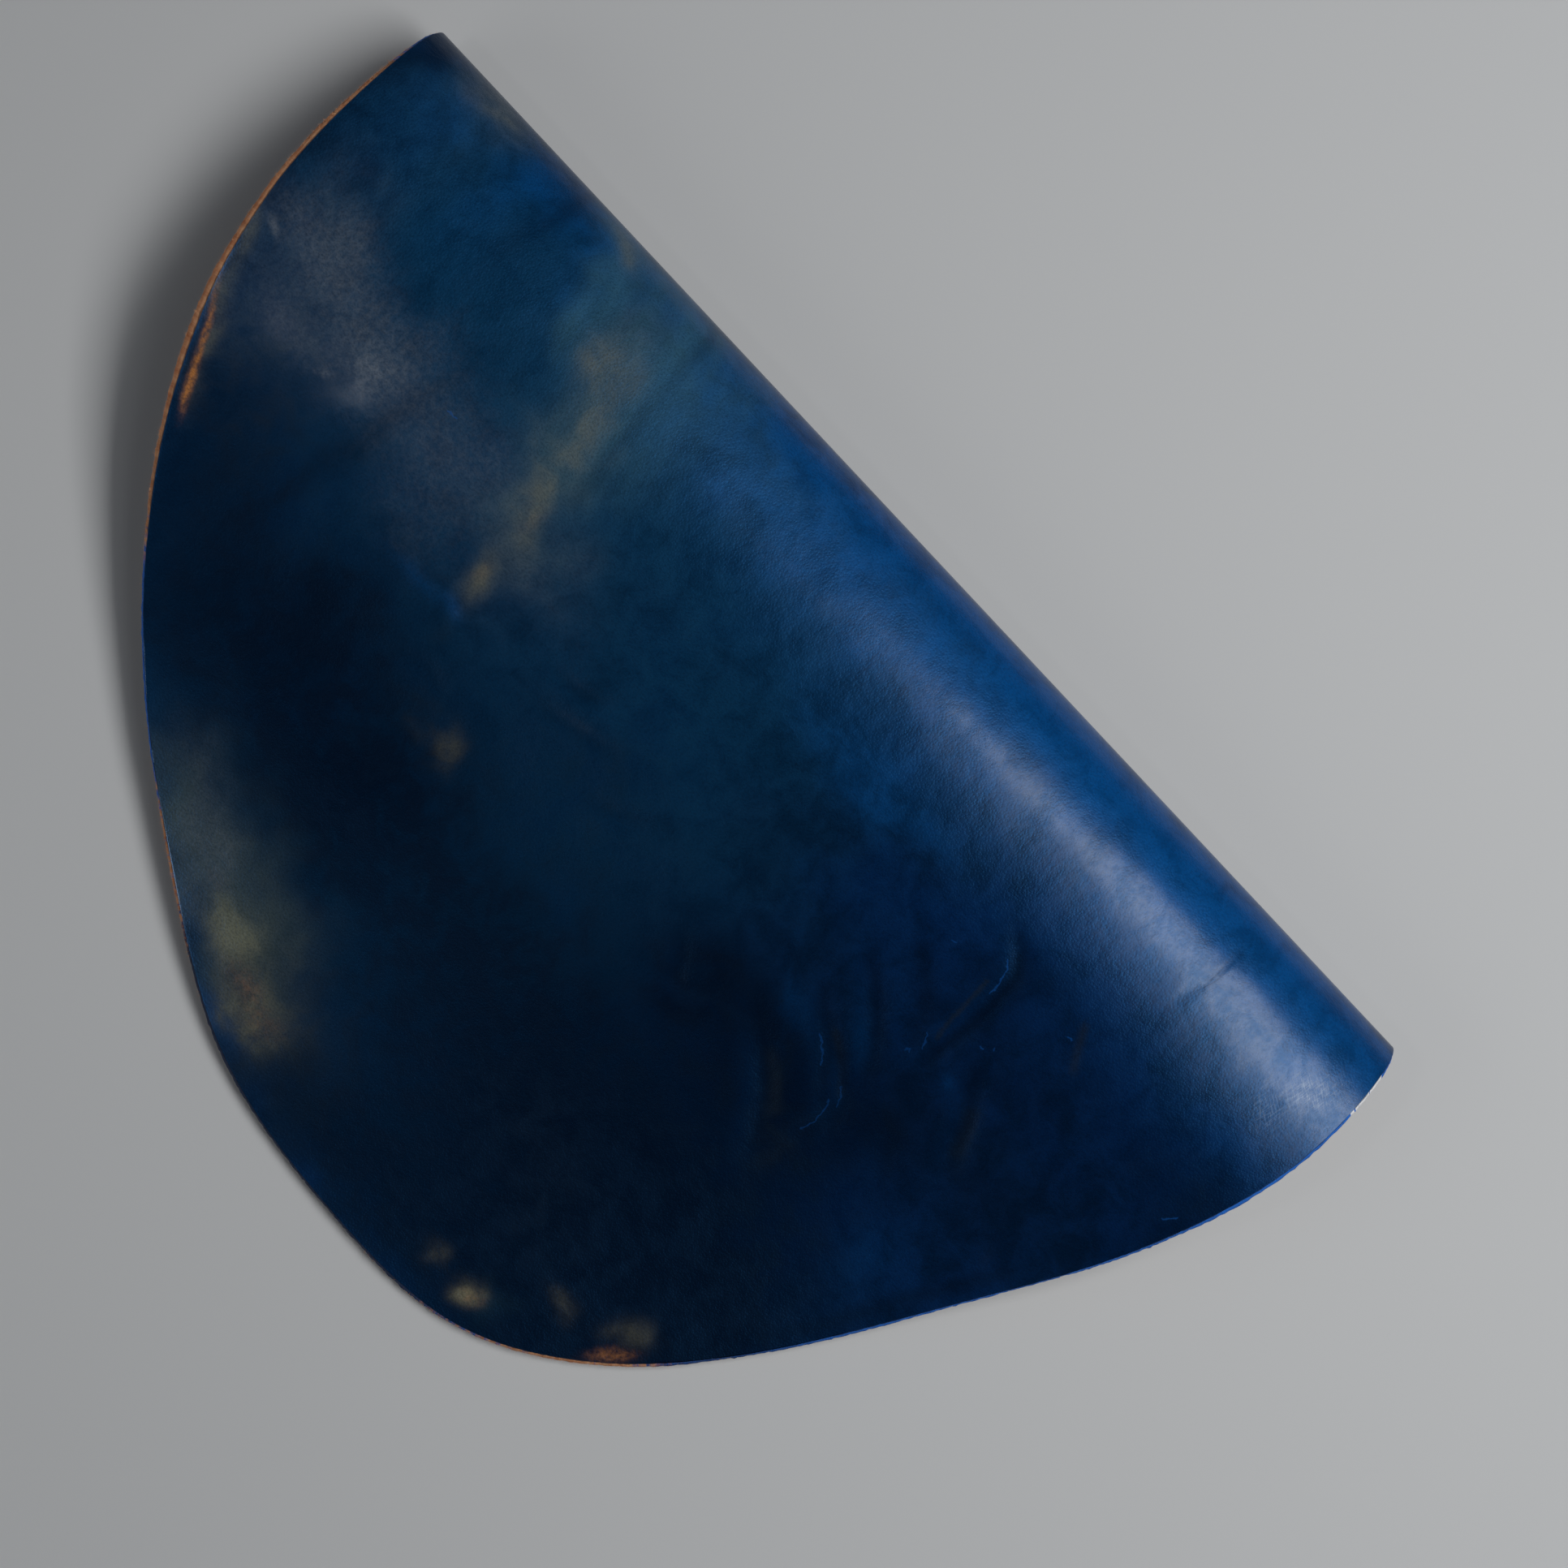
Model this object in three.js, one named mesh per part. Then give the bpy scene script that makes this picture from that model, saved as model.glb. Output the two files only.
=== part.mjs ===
// One shell of cordovan leather: a single hide disc, cut to an oval, about
// 610 mm across the fold and 460 mm along it, dyed on its grain side and
// folded once with the grain outside. The lower half lies flat, the fold is a
// soft rolled nose that is never creased, and the upper half falls from a low
// arch on to the lower half, with its left end held up by the stiffness of
// the hide.
//
// Millimetres, +Z up. +X runs along the fold, +Y points from the free edges to
// the fold. The shell is described by two coordinates on the hide: `along`,
// the same as X, and `across`, the way over the hide from the outermost line
// of the fold, positive over the upper half and negative over the lower one.

import * as THREE from 'three';

// Driving sizes
const THICKNESS = 1.8;
const NOSE_WAY = 1.24;
const CURL_FADE = 18;

// The sections of the fold, a row for each place along it. crestHeight is the
// highest line of the upper half, crestDepth its distance in from the fold,
// noseHeight the height of the fold's outermost line, and restHeight the
// height to which the upper half falls. All are at the middle of the hide's
// thickness.
const SECTIONS = [
	{ along: -240, crestHeight: 46.5, crestDepth: 74, noseHeight: 18, restHeight: 24 },
	{ along: -150, crestHeight: 45, crestDepth: 66, noseHeight: 16.5, restHeight: 12 },
	{ along: -40, crestHeight: 43, crestDepth: 57, noseHeight: 15, restHeight: 4.2 },
	{ along: 100, crestHeight: 41, crestDepth: 53, noseHeight: 14.5, restHeight: 3.8 },
	{ along: 240, crestHeight: 38, crestDepth: 50, noseHeight: 14, restHeight: 6 },
];

// The cut outline, on the hide. It starts at the left end of the fold, runs
// round the upper half to the right end, and back round the lower half, which
// is cut a little shorter.
const UPPER_OUTLINE = [
	{ along: -231, across: 0 },
	{ along: -231, across: 45 },
	{ along: -227, across: 90 },
	{ along: -213, across: 138 },
	{ along: -187.5, across: 185 },
	{ along: -148.5, across: 229 },
	{ along: -94, across: 268.5 },
	{ along: -35, across: 300 },
	{ along: 27, across: 309 },
	{ along: 84, across: 304.5 },
	{ along: 129, across: 276 },
	{ along: 165, across: 229 },
	{ along: 195, across: 172 },
	{ along: 219, across: 118 },
	{ along: 232, across: 62 },
];
const LOWER_OUTLINE = [
	{ along: 230, across: 0 },
	{ along: 227, across: -62 },
	{ along: 213, across: -114 },
	{ along: 190, across: -166 },
	{ along: 161, across: -222 },
	{ along: 125, across: -266 },
	{ along: 78, across: -292 },
	{ along: 27, across: -299 },
	{ along: -35, across: -289 },
	{ along: -92, across: -258 },
	{ along: -145, across: -218 },
	{ along: -184, across: -173 },
	{ along: -211, across: -128 },
	{ along: -226, across: -62 },
];
const OUTLINE = [ ...UPPER_OUTLINE, ...LOWER_OUTLINE ];

// Where the outline turns from a side to the far edge, as rows of the outline
const UPPER_LEFT_TURN = 5.5;
const UPPER_RIGHT_TURN = 10.8;
const FOLD_RIGHT = UPPER_OUTLINE.length;
const LOWER_RIGHT_TURN = FOLD_RIGHT + 4.3;
const LOWER_LEFT_TURN = FOLD_RIGHT + 9.7;

// The rim curls upwards in a few places of the upper half
const RIM_CURLS = [
	{ along: -212, across: 145, lift: 4, reach: 70 },
	{ along: -95, across: 270, lift: 3, reach: 60 },
	{ along: 27, across: 309, lift: 1, reach: 50 },
	{ along: 205, across: 150, lift: 3, reach: 55 },
];

// Soft swells and hollows of the upper half, as the hide never lies quite even
const SWELLS = [
	{ along: 60, across: 170, height: 1.6, length: 60, width: 40 },
	{ along: 130, across: 130, height: -1.4, length: 30, width: 60 },
	{ along: -60, across: 200, height: -1.5, length: 60, width: 50 },
	{ along: -140, across: 150, height: 1.5, length: 40, width: 60 },
];

// Cells of the mesh
const CELLS_ALONG = 40;
const NOSE_LOWER = { across: -28, rows: 6 };
const NOSE_UPPER = { across: 100, rows: 10 };
const UPPER_ROWS = 12;
const LOWER_ROWS = 10;

const outlineCurve = new THREE.CatmullRomCurve3(
	OUTLINE.map( ( row ) => new THREE.Vector3( row.along, row.across, 0 ) ),
	true,
	'catmullrom',
	0.5
);

// A point of the outline by its row number, with parts of a row in between
function outlineAt( row ) {

	const turns = row / OUTLINE.length;
	return outlineCurve.getPoint( turns - Math.floor( turns ) );

}

const rimPoints = Array.from( { length: OUTLINE.length * 6 }, ( _, k ) => outlineAt( k / 6 ) );

function rimDistance( along, across ) {

	return Math.min( ...rimPoints.map( ( p ) => Math.hypot( p.x - along, p.y - across ) ) );

}

// A column of the section table, blended smoothly between its rows
function sectionValue( name, along ) {

	const last = SECTIONS.length - 1;
	let k = 0;
	while ( k < last - 1 && along > SECTIONS[ k + 1 ].along ) k ++;
	const slope = ( i ) => {

		const a = SECTIONS[ Math.max( i - 1, 0 ) ];
		const b = SECTIONS[ Math.min( i + 1, last ) ];
		return ( b[ name ] - a[ name ] ) / ( b.along - a.along );

	};

	const from = SECTIONS[ k ];
	const to = SECTIONS[ k + 1 ];
	const span = to.along - from.along;
	const t = THREE.MathUtils.clamp( ( along - from.along ) / span, 0, 1 );
	const t2 = t * t;
	const t3 = t2 * t;
	return ( 2 * t3 - 3 * t2 + 1 ) * from[ name ]
		+ ( t3 - 2 * t2 + t ) * span * slope( k )
		+ ( 3 * t2 - 2 * t3 ) * to[ name ]
		+ ( t3 - t2 ) * span * slope( k + 1 );

}

// How far the rim curls and the swells raise a point of the upper half
function unevenness( along, across, past ) {

	const rim = Math.exp( - rimDistance( along, across ) / CURL_FADE );
	const curls = RIM_CURLS.reduce( ( sum, row ) => {

		const away = Math.hypot( along - row.along, across - row.across ) / row.reach;
		return sum + row.lift * Math.exp( - away * away ) * rim;

	}, 0 );
	const swells = SWELLS.reduce( ( sum, row ) => {

		const a = ( along - row.along ) / row.length;
		const b = ( across - row.across ) / row.width;
		return sum + row.height * Math.exp( - a * a - b * b );

	}, 0 );
	return ( curls + swells ) * THREE.MathUtils.smoothstep( past, 0, 40 );

}

// The middle of the hide's thickness, at a place on the hide
function hideAt( along, across ) {

	const crestHeight = sectionValue( 'crestHeight', along );
	const crestDepth = sectionValue( 'crestDepth', along );
	const noseHeight = sectionValue( 'noseHeight', along );
	const restHeight = sectionValue( 'restHeight', along );
	const underNose = noseHeight - THICKNESS / 2;

	if ( across < 0 ) {

		// a quarter circle under the fold, then flat
		const quarter = underNose * Math.PI / 2;
		const turn = Math.min( - across / quarter, 1 ) * Math.PI / 2;
		const depth = underNose * ( 1 - Math.cos( turn ) ) + Math.max( - across - quarter, 0 );
		return new THREE.Vector3( along, - depth, noseHeight - underNose * Math.sin( turn ) );

	}

	// a quarter ellipse up to the crest, then a bell curve of the same
	// curvature down to the rest height
	const rise = crestHeight - noseHeight;
	const fall = crestHeight - restHeight;
	const quarter = NOSE_WAY * crestDepth;
	if ( across < quarter ) {

		const turn = across / quarter * Math.PI / 2;
		const depth = crestDepth * ( 1 - Math.cos( turn ) );
		return new THREE.Vector3( along, - depth, noseHeight + rise * Math.sin( turn ) );

	}

	const past = across - quarter;
	const fallLength = crestDepth * Math.sqrt( 2 * fall / rise );
	const height = restHeight + fall * Math.exp( - ( ( past / fallLength ) ** 2 ) );
	return new THREE.Vector3( along, - crestDepth - past, height + unevenness( along, across, past ) );

}

// The grain side's normal, square to the hide
function grainNormal( along, across ) {

	const step = 0.5;
	const acrossWay = hideAt( along, across + step ).sub( hideAt( along, across - step ) );
	const alongWay = hideAt( along + step, across ).sub( hideAt( along - step, across ) );
	return acrossWay.cross( alongWay ).normalize();

}

// The row number of the outline, between two rows, that lies at `across`
function outlineRowAt( across, from, to ) {

	const rising = outlineAt( to ).y > outlineAt( from ).y;
	let low = from;
	let high = to;
	for ( let k = 0; k < 40; k ++ ) {

		const middle = ( low + high ) / 2;
		if ( ( outlineAt( middle ).y < across ) === rising ) low = middle;
		else high = middle;

	}

	return ( low + high ) / 2;

}

// One straight row of places, from the left side of the outline to the right
function straightRow( across ) {

	const upper = across > 0;
	const left = upper ? outlineRowAt( across, 0, UPPER_LEFT_TURN )
		: outlineRowAt( across, LOWER_LEFT_TURN, OUTLINE.length );
	const right = upper ? outlineRowAt( across, UPPER_RIGHT_TURN, FOLD_RIGHT )
		: outlineRowAt( across, FOLD_RIGHT, LOWER_RIGHT_TURN );
	return { left, right };

}

// The rows of one half past the nose: the straight row at its start is blended
// into the curve of the free edge
function halfRows( start, leftTurn, rightTurn, count ) {

	const row = straightRow( start );
	const leftEnd = row.left > leftTurn + OUTLINE.length / 2 ? row.left - OUTLINE.length : row.left;
	const corner = {
		topLeft: outlineAt( row.left ),
		topRight: outlineAt( row.right ),
		farLeft: outlineAt( leftTurn ),
		farRight: outlineAt( rightTurn ),
	};
	const rows = [];
	for ( let j = 1; j <= count; j ++ ) {

		const v = j / count;
		const left = outlineAt( THREE.MathUtils.lerp( leftEnd, leftTurn, v ) );
		const right = outlineAt( THREE.MathUtils.lerp( row.right, rightTurn, v ) );
		const places = [];
		for ( let i = 0; i <= CELLS_ALONG; i ++ ) {

			const u = i / CELLS_ALONG;
			const top = corner.topLeft.clone().lerp( corner.topRight, u );
			const far = outlineAt( THREE.MathUtils.lerp( leftTurn, rightTurn, u ) );
			const side = left.clone().lerp( right, u );
			const flat = corner.topLeft.clone().lerp( corner.topRight, u )
				.lerp( corner.farLeft.clone().lerp( corner.farRight, u ), v );
			places.push( top.lerp( far, v ).add( side ).sub( flat ) );

		}

		rows.push( places );

	}

	return rows;

}

// All rows of places on the hide, from the lower free edge to the upper one
function hideRows() {

	const nose = [];
	const levels = [];
	for ( let j = 0; j < NOSE_LOWER.rows; j ++ ) levels.push( NOSE_LOWER.across * ( 1 - j / NOSE_LOWER.rows ) );
	for ( let j = 0; j <= NOSE_UPPER.rows; j ++ ) levels.push( NOSE_UPPER.across * j / NOSE_UPPER.rows );
	for ( const across of levels ) {

		const row = straightRow( across );
		const left = outlineAt( row.left );
		const right = outlineAt( row.right );
		const places = [];
		for ( let i = 0; i <= CELLS_ALONG; i ++ ) places.push( left.clone().lerp( right, i / CELLS_ALONG ) );
		nose.push( places );

	}

	const upper = halfRows( NOSE_UPPER.across, UPPER_LEFT_TURN, UPPER_RIGHT_TURN, UPPER_ROWS );
	const lower = halfRows( NOSE_LOWER.across, LOWER_LEFT_TURN, LOWER_RIGHT_TURN, LOWER_ROWS );
	return [ ...lower.reverse(), ...nose, ...upper ];

}

// The closed body: grain side, flesh side and the cut edge between them
function buildShell() {

	const rows = hideRows();
	const columns = CELLS_ALONG + 1;
	const grain = [];
	const flesh = [];
	for ( const row of rows ) {

		for ( const place of row ) {

			const middle = hideAt( place.x, place.y );
			const offset = grainNormal( place.x, place.y ).multiplyScalar( THICKNESS / 2 );
			grain.push( middle.clone().add( offset ) );
			flesh.push( middle.clone().sub( offset ) );

		}

	}

	const points = [ ...grain, ...flesh ];
	const under = grain.length;
	const faces = [];
	const at = ( i, j ) => j * columns + i;
	for ( let j = 0; j < rows.length - 1; j ++ ) {

		for ( let i = 0; i < CELLS_ALONG; i ++ ) {

			const [ a, b, c, d ] = [ at( i, j ), at( i + 1, j ), at( i + 1, j + 1 ), at( i, j + 1 ) ];
			const split = grain[ a ].distanceTo( grain[ c ] ) < grain[ b ].distanceTo( grain[ d ] )
				? [ [ a, b, c ], [ a, c, d ] ] : [ [ a, b, d ], [ b, c, d ] ];
			for ( const [ p, q, r ] of split ) {

				faces.push( [ p, r, q ], [ p + under, q + under, r + under ] );

			}

		}

	}

	const rim = [];
	for ( let i = 0; i < CELLS_ALONG; i ++ ) rim.push( at( i, 0 ) );
	for ( let j = 0; j < rows.length - 1; j ++ ) rim.push( at( CELLS_ALONG, j ) );
	for ( let i = CELLS_ALONG; i > 0; i -- ) rim.push( at( i, rows.length - 1 ) );
	for ( let j = rows.length - 1; j > 0; j -- ) rim.push( at( 0, j ) );
	rim.forEach( ( p, k ) => {

		const q = rim[ ( k + 1 ) % rim.length ];
		faces.push( [ p, q, q + under ], [ p, q + under, p + under ] );

	} );

	const geometry = new THREE.BufferGeometry();
	const values = points.flatMap( ( p ) => [ p.x, p.y, p.z ] );
	geometry.setAttribute( 'position', new THREE.Float32BufferAttribute( values, 3 ) );
	geometry.setIndex( faces.flat() );

	// the origin is under the middle of the folded shell
	geometry.computeBoundingBox();
	const box = geometry.boundingBox;
	geometry.translate( - ( box.min.x + box.max.x ) / 2, - ( box.min.y + box.max.y ) / 2, - box.min.z );
	geometry.computeVertexNormals();
	return geometry;

}

const leather = new THREE.MeshStandardMaterial( { color: 0x0a2c52, roughness: 0.35, metalness: 0 } );
const shell = new THREE.Mesh( buildShell(), leather );
shell.name = 'shell_leather';

const group = new THREE.Group();
group.add( shell );

export default group;
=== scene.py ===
# %% [markdown]
# # A folded piece of blue shell cordovan
# One oval hide, dyed on the grain side and folded once with the grain outside.
# The lower half lies flat, the fold is a soft rolled nose, and the upper half
# comes down from a low arch. The lesson makes the whole hide as one closed
# mesh, gives it three finishes (glazed grain, suede flesh side and cut edge),
# adds the loose fibres of the raw cut, and lights it softly from the right.

# %% Load the fixed frame
import math
import bpy
import numpy as np
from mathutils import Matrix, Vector


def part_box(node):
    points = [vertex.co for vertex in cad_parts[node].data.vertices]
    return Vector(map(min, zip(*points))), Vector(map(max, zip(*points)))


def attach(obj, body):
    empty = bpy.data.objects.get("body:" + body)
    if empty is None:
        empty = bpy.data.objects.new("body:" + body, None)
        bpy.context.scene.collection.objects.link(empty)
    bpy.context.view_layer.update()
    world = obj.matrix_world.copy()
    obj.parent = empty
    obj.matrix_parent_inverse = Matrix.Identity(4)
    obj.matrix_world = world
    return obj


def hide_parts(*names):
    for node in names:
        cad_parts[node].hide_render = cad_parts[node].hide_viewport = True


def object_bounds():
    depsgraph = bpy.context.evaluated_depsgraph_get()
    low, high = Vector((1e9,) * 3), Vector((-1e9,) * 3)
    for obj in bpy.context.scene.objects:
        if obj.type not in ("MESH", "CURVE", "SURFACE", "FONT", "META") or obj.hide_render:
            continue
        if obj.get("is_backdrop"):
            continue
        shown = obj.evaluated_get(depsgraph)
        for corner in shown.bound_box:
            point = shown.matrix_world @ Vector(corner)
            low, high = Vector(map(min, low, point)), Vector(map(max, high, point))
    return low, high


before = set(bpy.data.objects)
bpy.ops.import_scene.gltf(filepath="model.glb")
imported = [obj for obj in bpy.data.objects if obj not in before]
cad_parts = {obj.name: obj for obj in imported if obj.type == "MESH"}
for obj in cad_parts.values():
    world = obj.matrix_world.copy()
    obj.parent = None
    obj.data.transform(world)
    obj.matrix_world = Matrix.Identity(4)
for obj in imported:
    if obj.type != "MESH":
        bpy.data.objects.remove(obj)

MM = 0.001
cad_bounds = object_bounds()
cad_low, cad_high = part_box("shell_leather")
print("CAD box in mm:", [round((b - a) / MM, 1) for a, b in zip(cad_low, cad_high)])

# %% [markdown]
# ## The fold as a rule
# A stiff, waxy hide can't crease without damage, so it rolls over in a nose
# and lets the upper half sag. A cloth simulation could find that shape, but it
# would wander from the construction model. The shape follows a rule instead:
# a quarter circle under the nose, a quarter ellipse up to the crest, and a bell
# curve of the same curvature down to where the upper half rests. A short table
# gives the sizes at five places along the fold. `along` is X and `across` is
# the way over the hide from the outermost line of the fold, both in
# millimetres.

# %% Sizes of the folded hide
THICKNESS = 1.8

SECTIONS = {
    "along": [-240, -150, -40, 100, 240],
    "crest_height": [46.5, 45, 43, 41, 38],
    "crest_depth": [74, 66, 57, 53, 50],
    "nose_height": [18, 16.5, 15, 14.5, 14],
    "rest_height": [24, 12, 4.2, 3.8, 6],
}


def smooth_curve(start, leave, end, arrive, t):
    """From start to end as t goes from 0 to 1, with the slopes leave and arrive."""
    return (
        (2 * t**3 - 3 * t**2 + 1) * start
        + (t**3 - 2 * t**2 + t) * leave
        + (3 * t**2 - 2 * t**3) * end
        + (t**3 - t**2) * arrive
    )


def section_value(name, along):
    """One column of the section table, blended smoothly between its rows."""
    places = np.array(SECTIONS["along"], float)
    sizes = np.array(SECTIONS[name], float)
    slopes = np.empty_like(sizes)
    slopes[1:-1] = (sizes[2:] - sizes[:-2]) / (places[2:] - places[:-2])
    slopes[0] = (sizes[1] - sizes[0]) / (places[1] - places[0])
    slopes[-1] = (sizes[-1] - sizes[-2]) / (places[-1] - places[-2])
    k = np.clip(np.searchsorted(places, along) - 1, 0, len(places) - 2)
    span = places[k + 1] - places[k]
    t = np.clip((along - places[k]) / span, 0, 1)
    return smooth_curve(sizes[k], span * slopes[k], sizes[k + 1], span * slopes[k + 1], t)


for name in list(SECTIONS)[1:]:
    print(name, "in the middle of the fold:", round(float(section_value(name, 0.0)), 1), "mm")

# %% [markdown]
# ## The cut outline
# The hide was cut by hand to an oval, so its outline is a smooth closed curve
# through a few places round the rim. It starts at the left end of the fold,
# goes round the upper half, and comes back round the lower half, which is cut
# a little shorter and stays hidden. A spline keeps the long soft corners of a
# knife cut, which an ellipse would lose.

# %% The outline as a closed curve
UPPER_OUTLINE = [
    (-231, 0), (-231, 45), (-227, 90), (-213, 138), (-187.5, 185),
    (-148.5, 229), (-94, 268.5), (-35, 300), (27, 309), (84, 304.5),
    (129, 276), (165, 229), (195, 172), (219, 118), (232, 62),
]
LOWER_OUTLINE = [
    (230, 0), (227, -62), (213, -114), (190, -166), (161, -222),
    (125, -266), (78, -292), (27, -299), (-35, -289), (-92, -258),
    (-145, -218), (-184, -173), (-211, -128), (-226, -62),
]
OUTLINE = np.array(UPPER_OUTLINE + LOWER_OUTLINE, float)
RIM_SAMPLES = 700


def outline_at(row):
    """A place on the outline by its row number, with parts of a row in between."""
    row = np.asarray(row, float)
    k = np.floor(row).astype(int)
    t = (row - k)[..., None]
    before, start, end, after = (OUTLINE[(k + step) % len(OUTLINE)] for step in (-1, 0, 1, 2))
    return smooth_curve(start, (end - before) / 2, end, (after - start) / 2, t)


rim_points = outline_at(np.linspace(0, len(OUTLINE), RIM_SAMPLES, endpoint=False))

# %% [markdown]
# ## Creases and wrinkles
# The upper half has a few marks of the animal's skin and of handling: a long
# curved pinch, two or three soft upright waves and one crease that nips the
# bright band by the fold. Each is a stroke of two to five places with a width
# and a depth. A stroke is a soft trough with a low shoulder beside it, so that
# it catches the light on one side, as pinched leather does.

# %% Creases
# columns: places on the hide, depth, width, shoulder as a share of the depth
CREASES = [
    ([(115, 78), (121, 82), (125, 88), (127, 105), (126, 128)], 0.6, 2.8, 0.4),
    ([(95, 103), (105, 108), (112, 118), (118, 126)], 0.3, 4.0, 0.4),
    ([(92, 120), (100, 126), (108, 134), (119, 150)], 0.55, 3.4, 0.6),
    ([(88, 138), (97, 146), (103, 151), (108, 157)], 0.5, 2.6, 0.6),
    ([(98, 143), (110, 150), (118, 157), (123, 168)], 0.5, 2.6, 0.5),
    ([(113, 160), (118, 166), (117, 176)], 0.4, 2.6, 0.5),
    ([(80, 160), (90, 167), (100, 176), (109, 190)], 0.6, 4.0, 0.5),
    ([(144, 123), (150, 130), (155, 140), (160, 148)], 0.5, 3.4, 0.4),
    ([(138, 155), (147, 168)], 0.3, 3.4, 0.3),
    ([(166, 56), (168, 47), (169, 38), (170, 26)], 0.22, 1.8, 0.5),
    ([(-47, 30), (-40, 34), (-33, 39)], 0.2, 2.0, 0.3),
    ([(-50, 130), (-41, 129), (-32, 126)], 0.3, 2.4, 0.3),
    ([(-46, 142), (-32, 138), (-18, 134)], 0.3, 2.6, 0.3),
    ([(-12, 150), (-2, 147), (6, 142)], 0.25, 2.6, 0.3),
    ([(40, 158), (46, 163), (52, 172)], 0.3, 2.6, 0.4),
    ([(44, 172), (54, 170), (62, 164)], 0.35, 2.6, 0.4),
    ([(-92, 164), (-80, 160), (-72, 163)], 0.2, 2.4, 0.3),
    ([(-36, 128), (-28, 120)], 0.2, 2.0, 0.3),
]
print(len(CREASES), "creases, the deepest", max(depth for _, depth, _, _ in CREASES), "mm")


# %% Distance from a stroke
def stroke_distance(along, across, places):
    """Distance from a stroke, the side of it, and how far along it, 0 to 1."""
    best = np.full(along.shape, np.inf)
    side = np.zeros(along.shape)
    way = np.zeros(along.shape)
    count = len(places) - 1
    for k, ((a0, c0), (a1, c1)) in enumerate(zip(places[:-1], places[1:])):
        da, dc = a1 - a0, c1 - c0
        length = math.hypot(da, dc)
        t = np.clip(((along - a0) * da + (across - c0) * dc) / length**2, 0, 1)
        off_a = along - a0 - t * da
        off_c = across - c0 - t * dc
        away = np.hypot(off_a, off_c)
        nearer = away < best
        best = np.where(nearer, away, best)
        side = np.where(nearer, (da * off_c - dc * off_a) / length, side)
        way = np.where(nearer, (k + t) / count, way)
    return best, side, way


fold_middle = np.zeros(1)
nearest = min(stroke_distance(fold_middle, fold_middle, crease[0])[0][0] for crease in CREASES)
print(f"the crease nearest to the middle of the fold is {nearest:.0f} mm away")

# %% Relief of the creases
TAPER = 0.12
TAPER_POWER = 0.8
# the shoulder's place and its two reaches, in widths of the trough
SHOULDER_PLACE = 1.6
SHOULDER_WIDTH = 1.2
SHOULDER_REACH = 3


def crease_relief(along, across):
    """The depth of all troughs and the height of all shoulders, in millimetres."""
    trough = np.zeros(along.shape)
    ridge = np.zeros(along.shape)
    for places, depth, width, shoulder in CREASES:
        away, side, way = stroke_distance(along, across, places)
        taper = np.sin(np.pi * (TAPER + (1 - 2 * TAPER) * way)) ** TAPER_POWER
        trough += depth * taper * np.exp(-((away / width) ** 2))
        beside = ((side - SHOULDER_PLACE * width) / (SHOULDER_WIDTH * width)) ** 2
        beside = beside + (away / (SHOULDER_REACH * width)) ** 2
        ridge += depth * taper * shoulder * np.exp(-beside)
    return trough, ridge


pinch_along, pinch_across = np.array(CREASES[0][0], float).T
print("troughs along the long pinch, in mm:", np.round(crease_relief(pinch_along, pinch_across)[0], 2))

# %% [markdown]
# ## Soft noise
# The hide needs slow unevenness that isn't regular. A small lattice of seeded
# random values, blended smoothly, is enough and gives the same result on every
# run. Round spots, each a soft hill of its own reach, put more of something
# where it is wanted.

# %% Seeded soft noise and round spots
LATTICE = 64
LATTICE_START = 400


def soft_noise(along, across, size, seed):
    """Smooth random values from -1 to 1 that change over about size millimetres."""
    lattice = np.random.default_rng(seed).uniform(-1, 1, (LATTICE, LATTICE))
    a = along / size + LATTICE_START
    c = across / size + LATTICE_START
    i, j = np.floor(a).astype(int), np.floor(c).astype(int)
    u, v = a - i, c - j
    u, v = u * u * (3 - 2 * u), v * v * (3 - 2 * v)

    def corner(di, dj):
        return lattice[(i + di) % LATTICE, (j + dj) % LATTICE]

    low = corner(0, 0) * (1 - u) + corner(1, 0) * u
    high = corner(0, 1) * (1 - u) + corner(1, 1) * u
    return low * (1 - v) + high * v


def layered_noise(table, along, across):
    """The sum of soft noises. Columns of the table: size, height, seed."""
    return sum(height * soft_noise(along, across, size, seed) for size, height, seed in table)


def round_spots(table, along, across):
    """The sum of soft round spots. Columns of the table: along, across, reach, strength."""
    total = np.zeros(along.shape)
    for a, c, reach, strength in table:
        total += strength * np.exp(-((along - a) ** 2 + (across - c) ** 2) / reach**2)
    return total


def smooth_step(value, start, end):
    """0 before start, 1 past end, and a soft step between them."""
    t = np.clip((value - start) / (end - start), 0, 1)
    return t * t * (3 - 2 * t)


print("soft noise at four places:", np.round(soft_noise(10 * np.arange(4.0), np.zeros(4), 10, 5), 2))

# %% [markdown]
# ## From the hide to the folded shape
# `hide_at` puts the middle of the hide's thickness in space. The rim curls up
# a little in places, which is why the camera above sees some of the cut edge.
# The upper half also has slow swells, some listed one by one and some of soft
# noise. They fade in past the crest, so that the fold itself stays even.

# %% Curls and swells of the upper half
CURL_FADE = 18
COARSE_STEP = 5
SWELLS_FULL_AT = 40

# columns: along, across, reach, lift
RIM_CURLS = [
    (-212, 145, 70, 4),
    (-95, 270, 60, 3),
    (27, 309, 50, 1),
    (205, 150, 55, 3),
]

# columns: along, across, height, length, width
SWELLS = [
    (60, 170, 1.6, 60, 40),
    (130, 130, -1.4, 30, 60),
    (-60, 200, -1.5, 60, 50),
    (-140, 150, 1.5, 40, 60),
]

# columns: size, height, seed
SOFT_SWELLS = [
    (38, 0.25, 5),
    (17, 0.12, 6),
]


def rim_distance(along, across):
    """Distance from the cut, measured to short straight pieces of it."""
    coarse = [*rim_points[::COARSE_STEP], rim_points[0]]
    return stroke_distance(along, across, coarse)[0]


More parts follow.
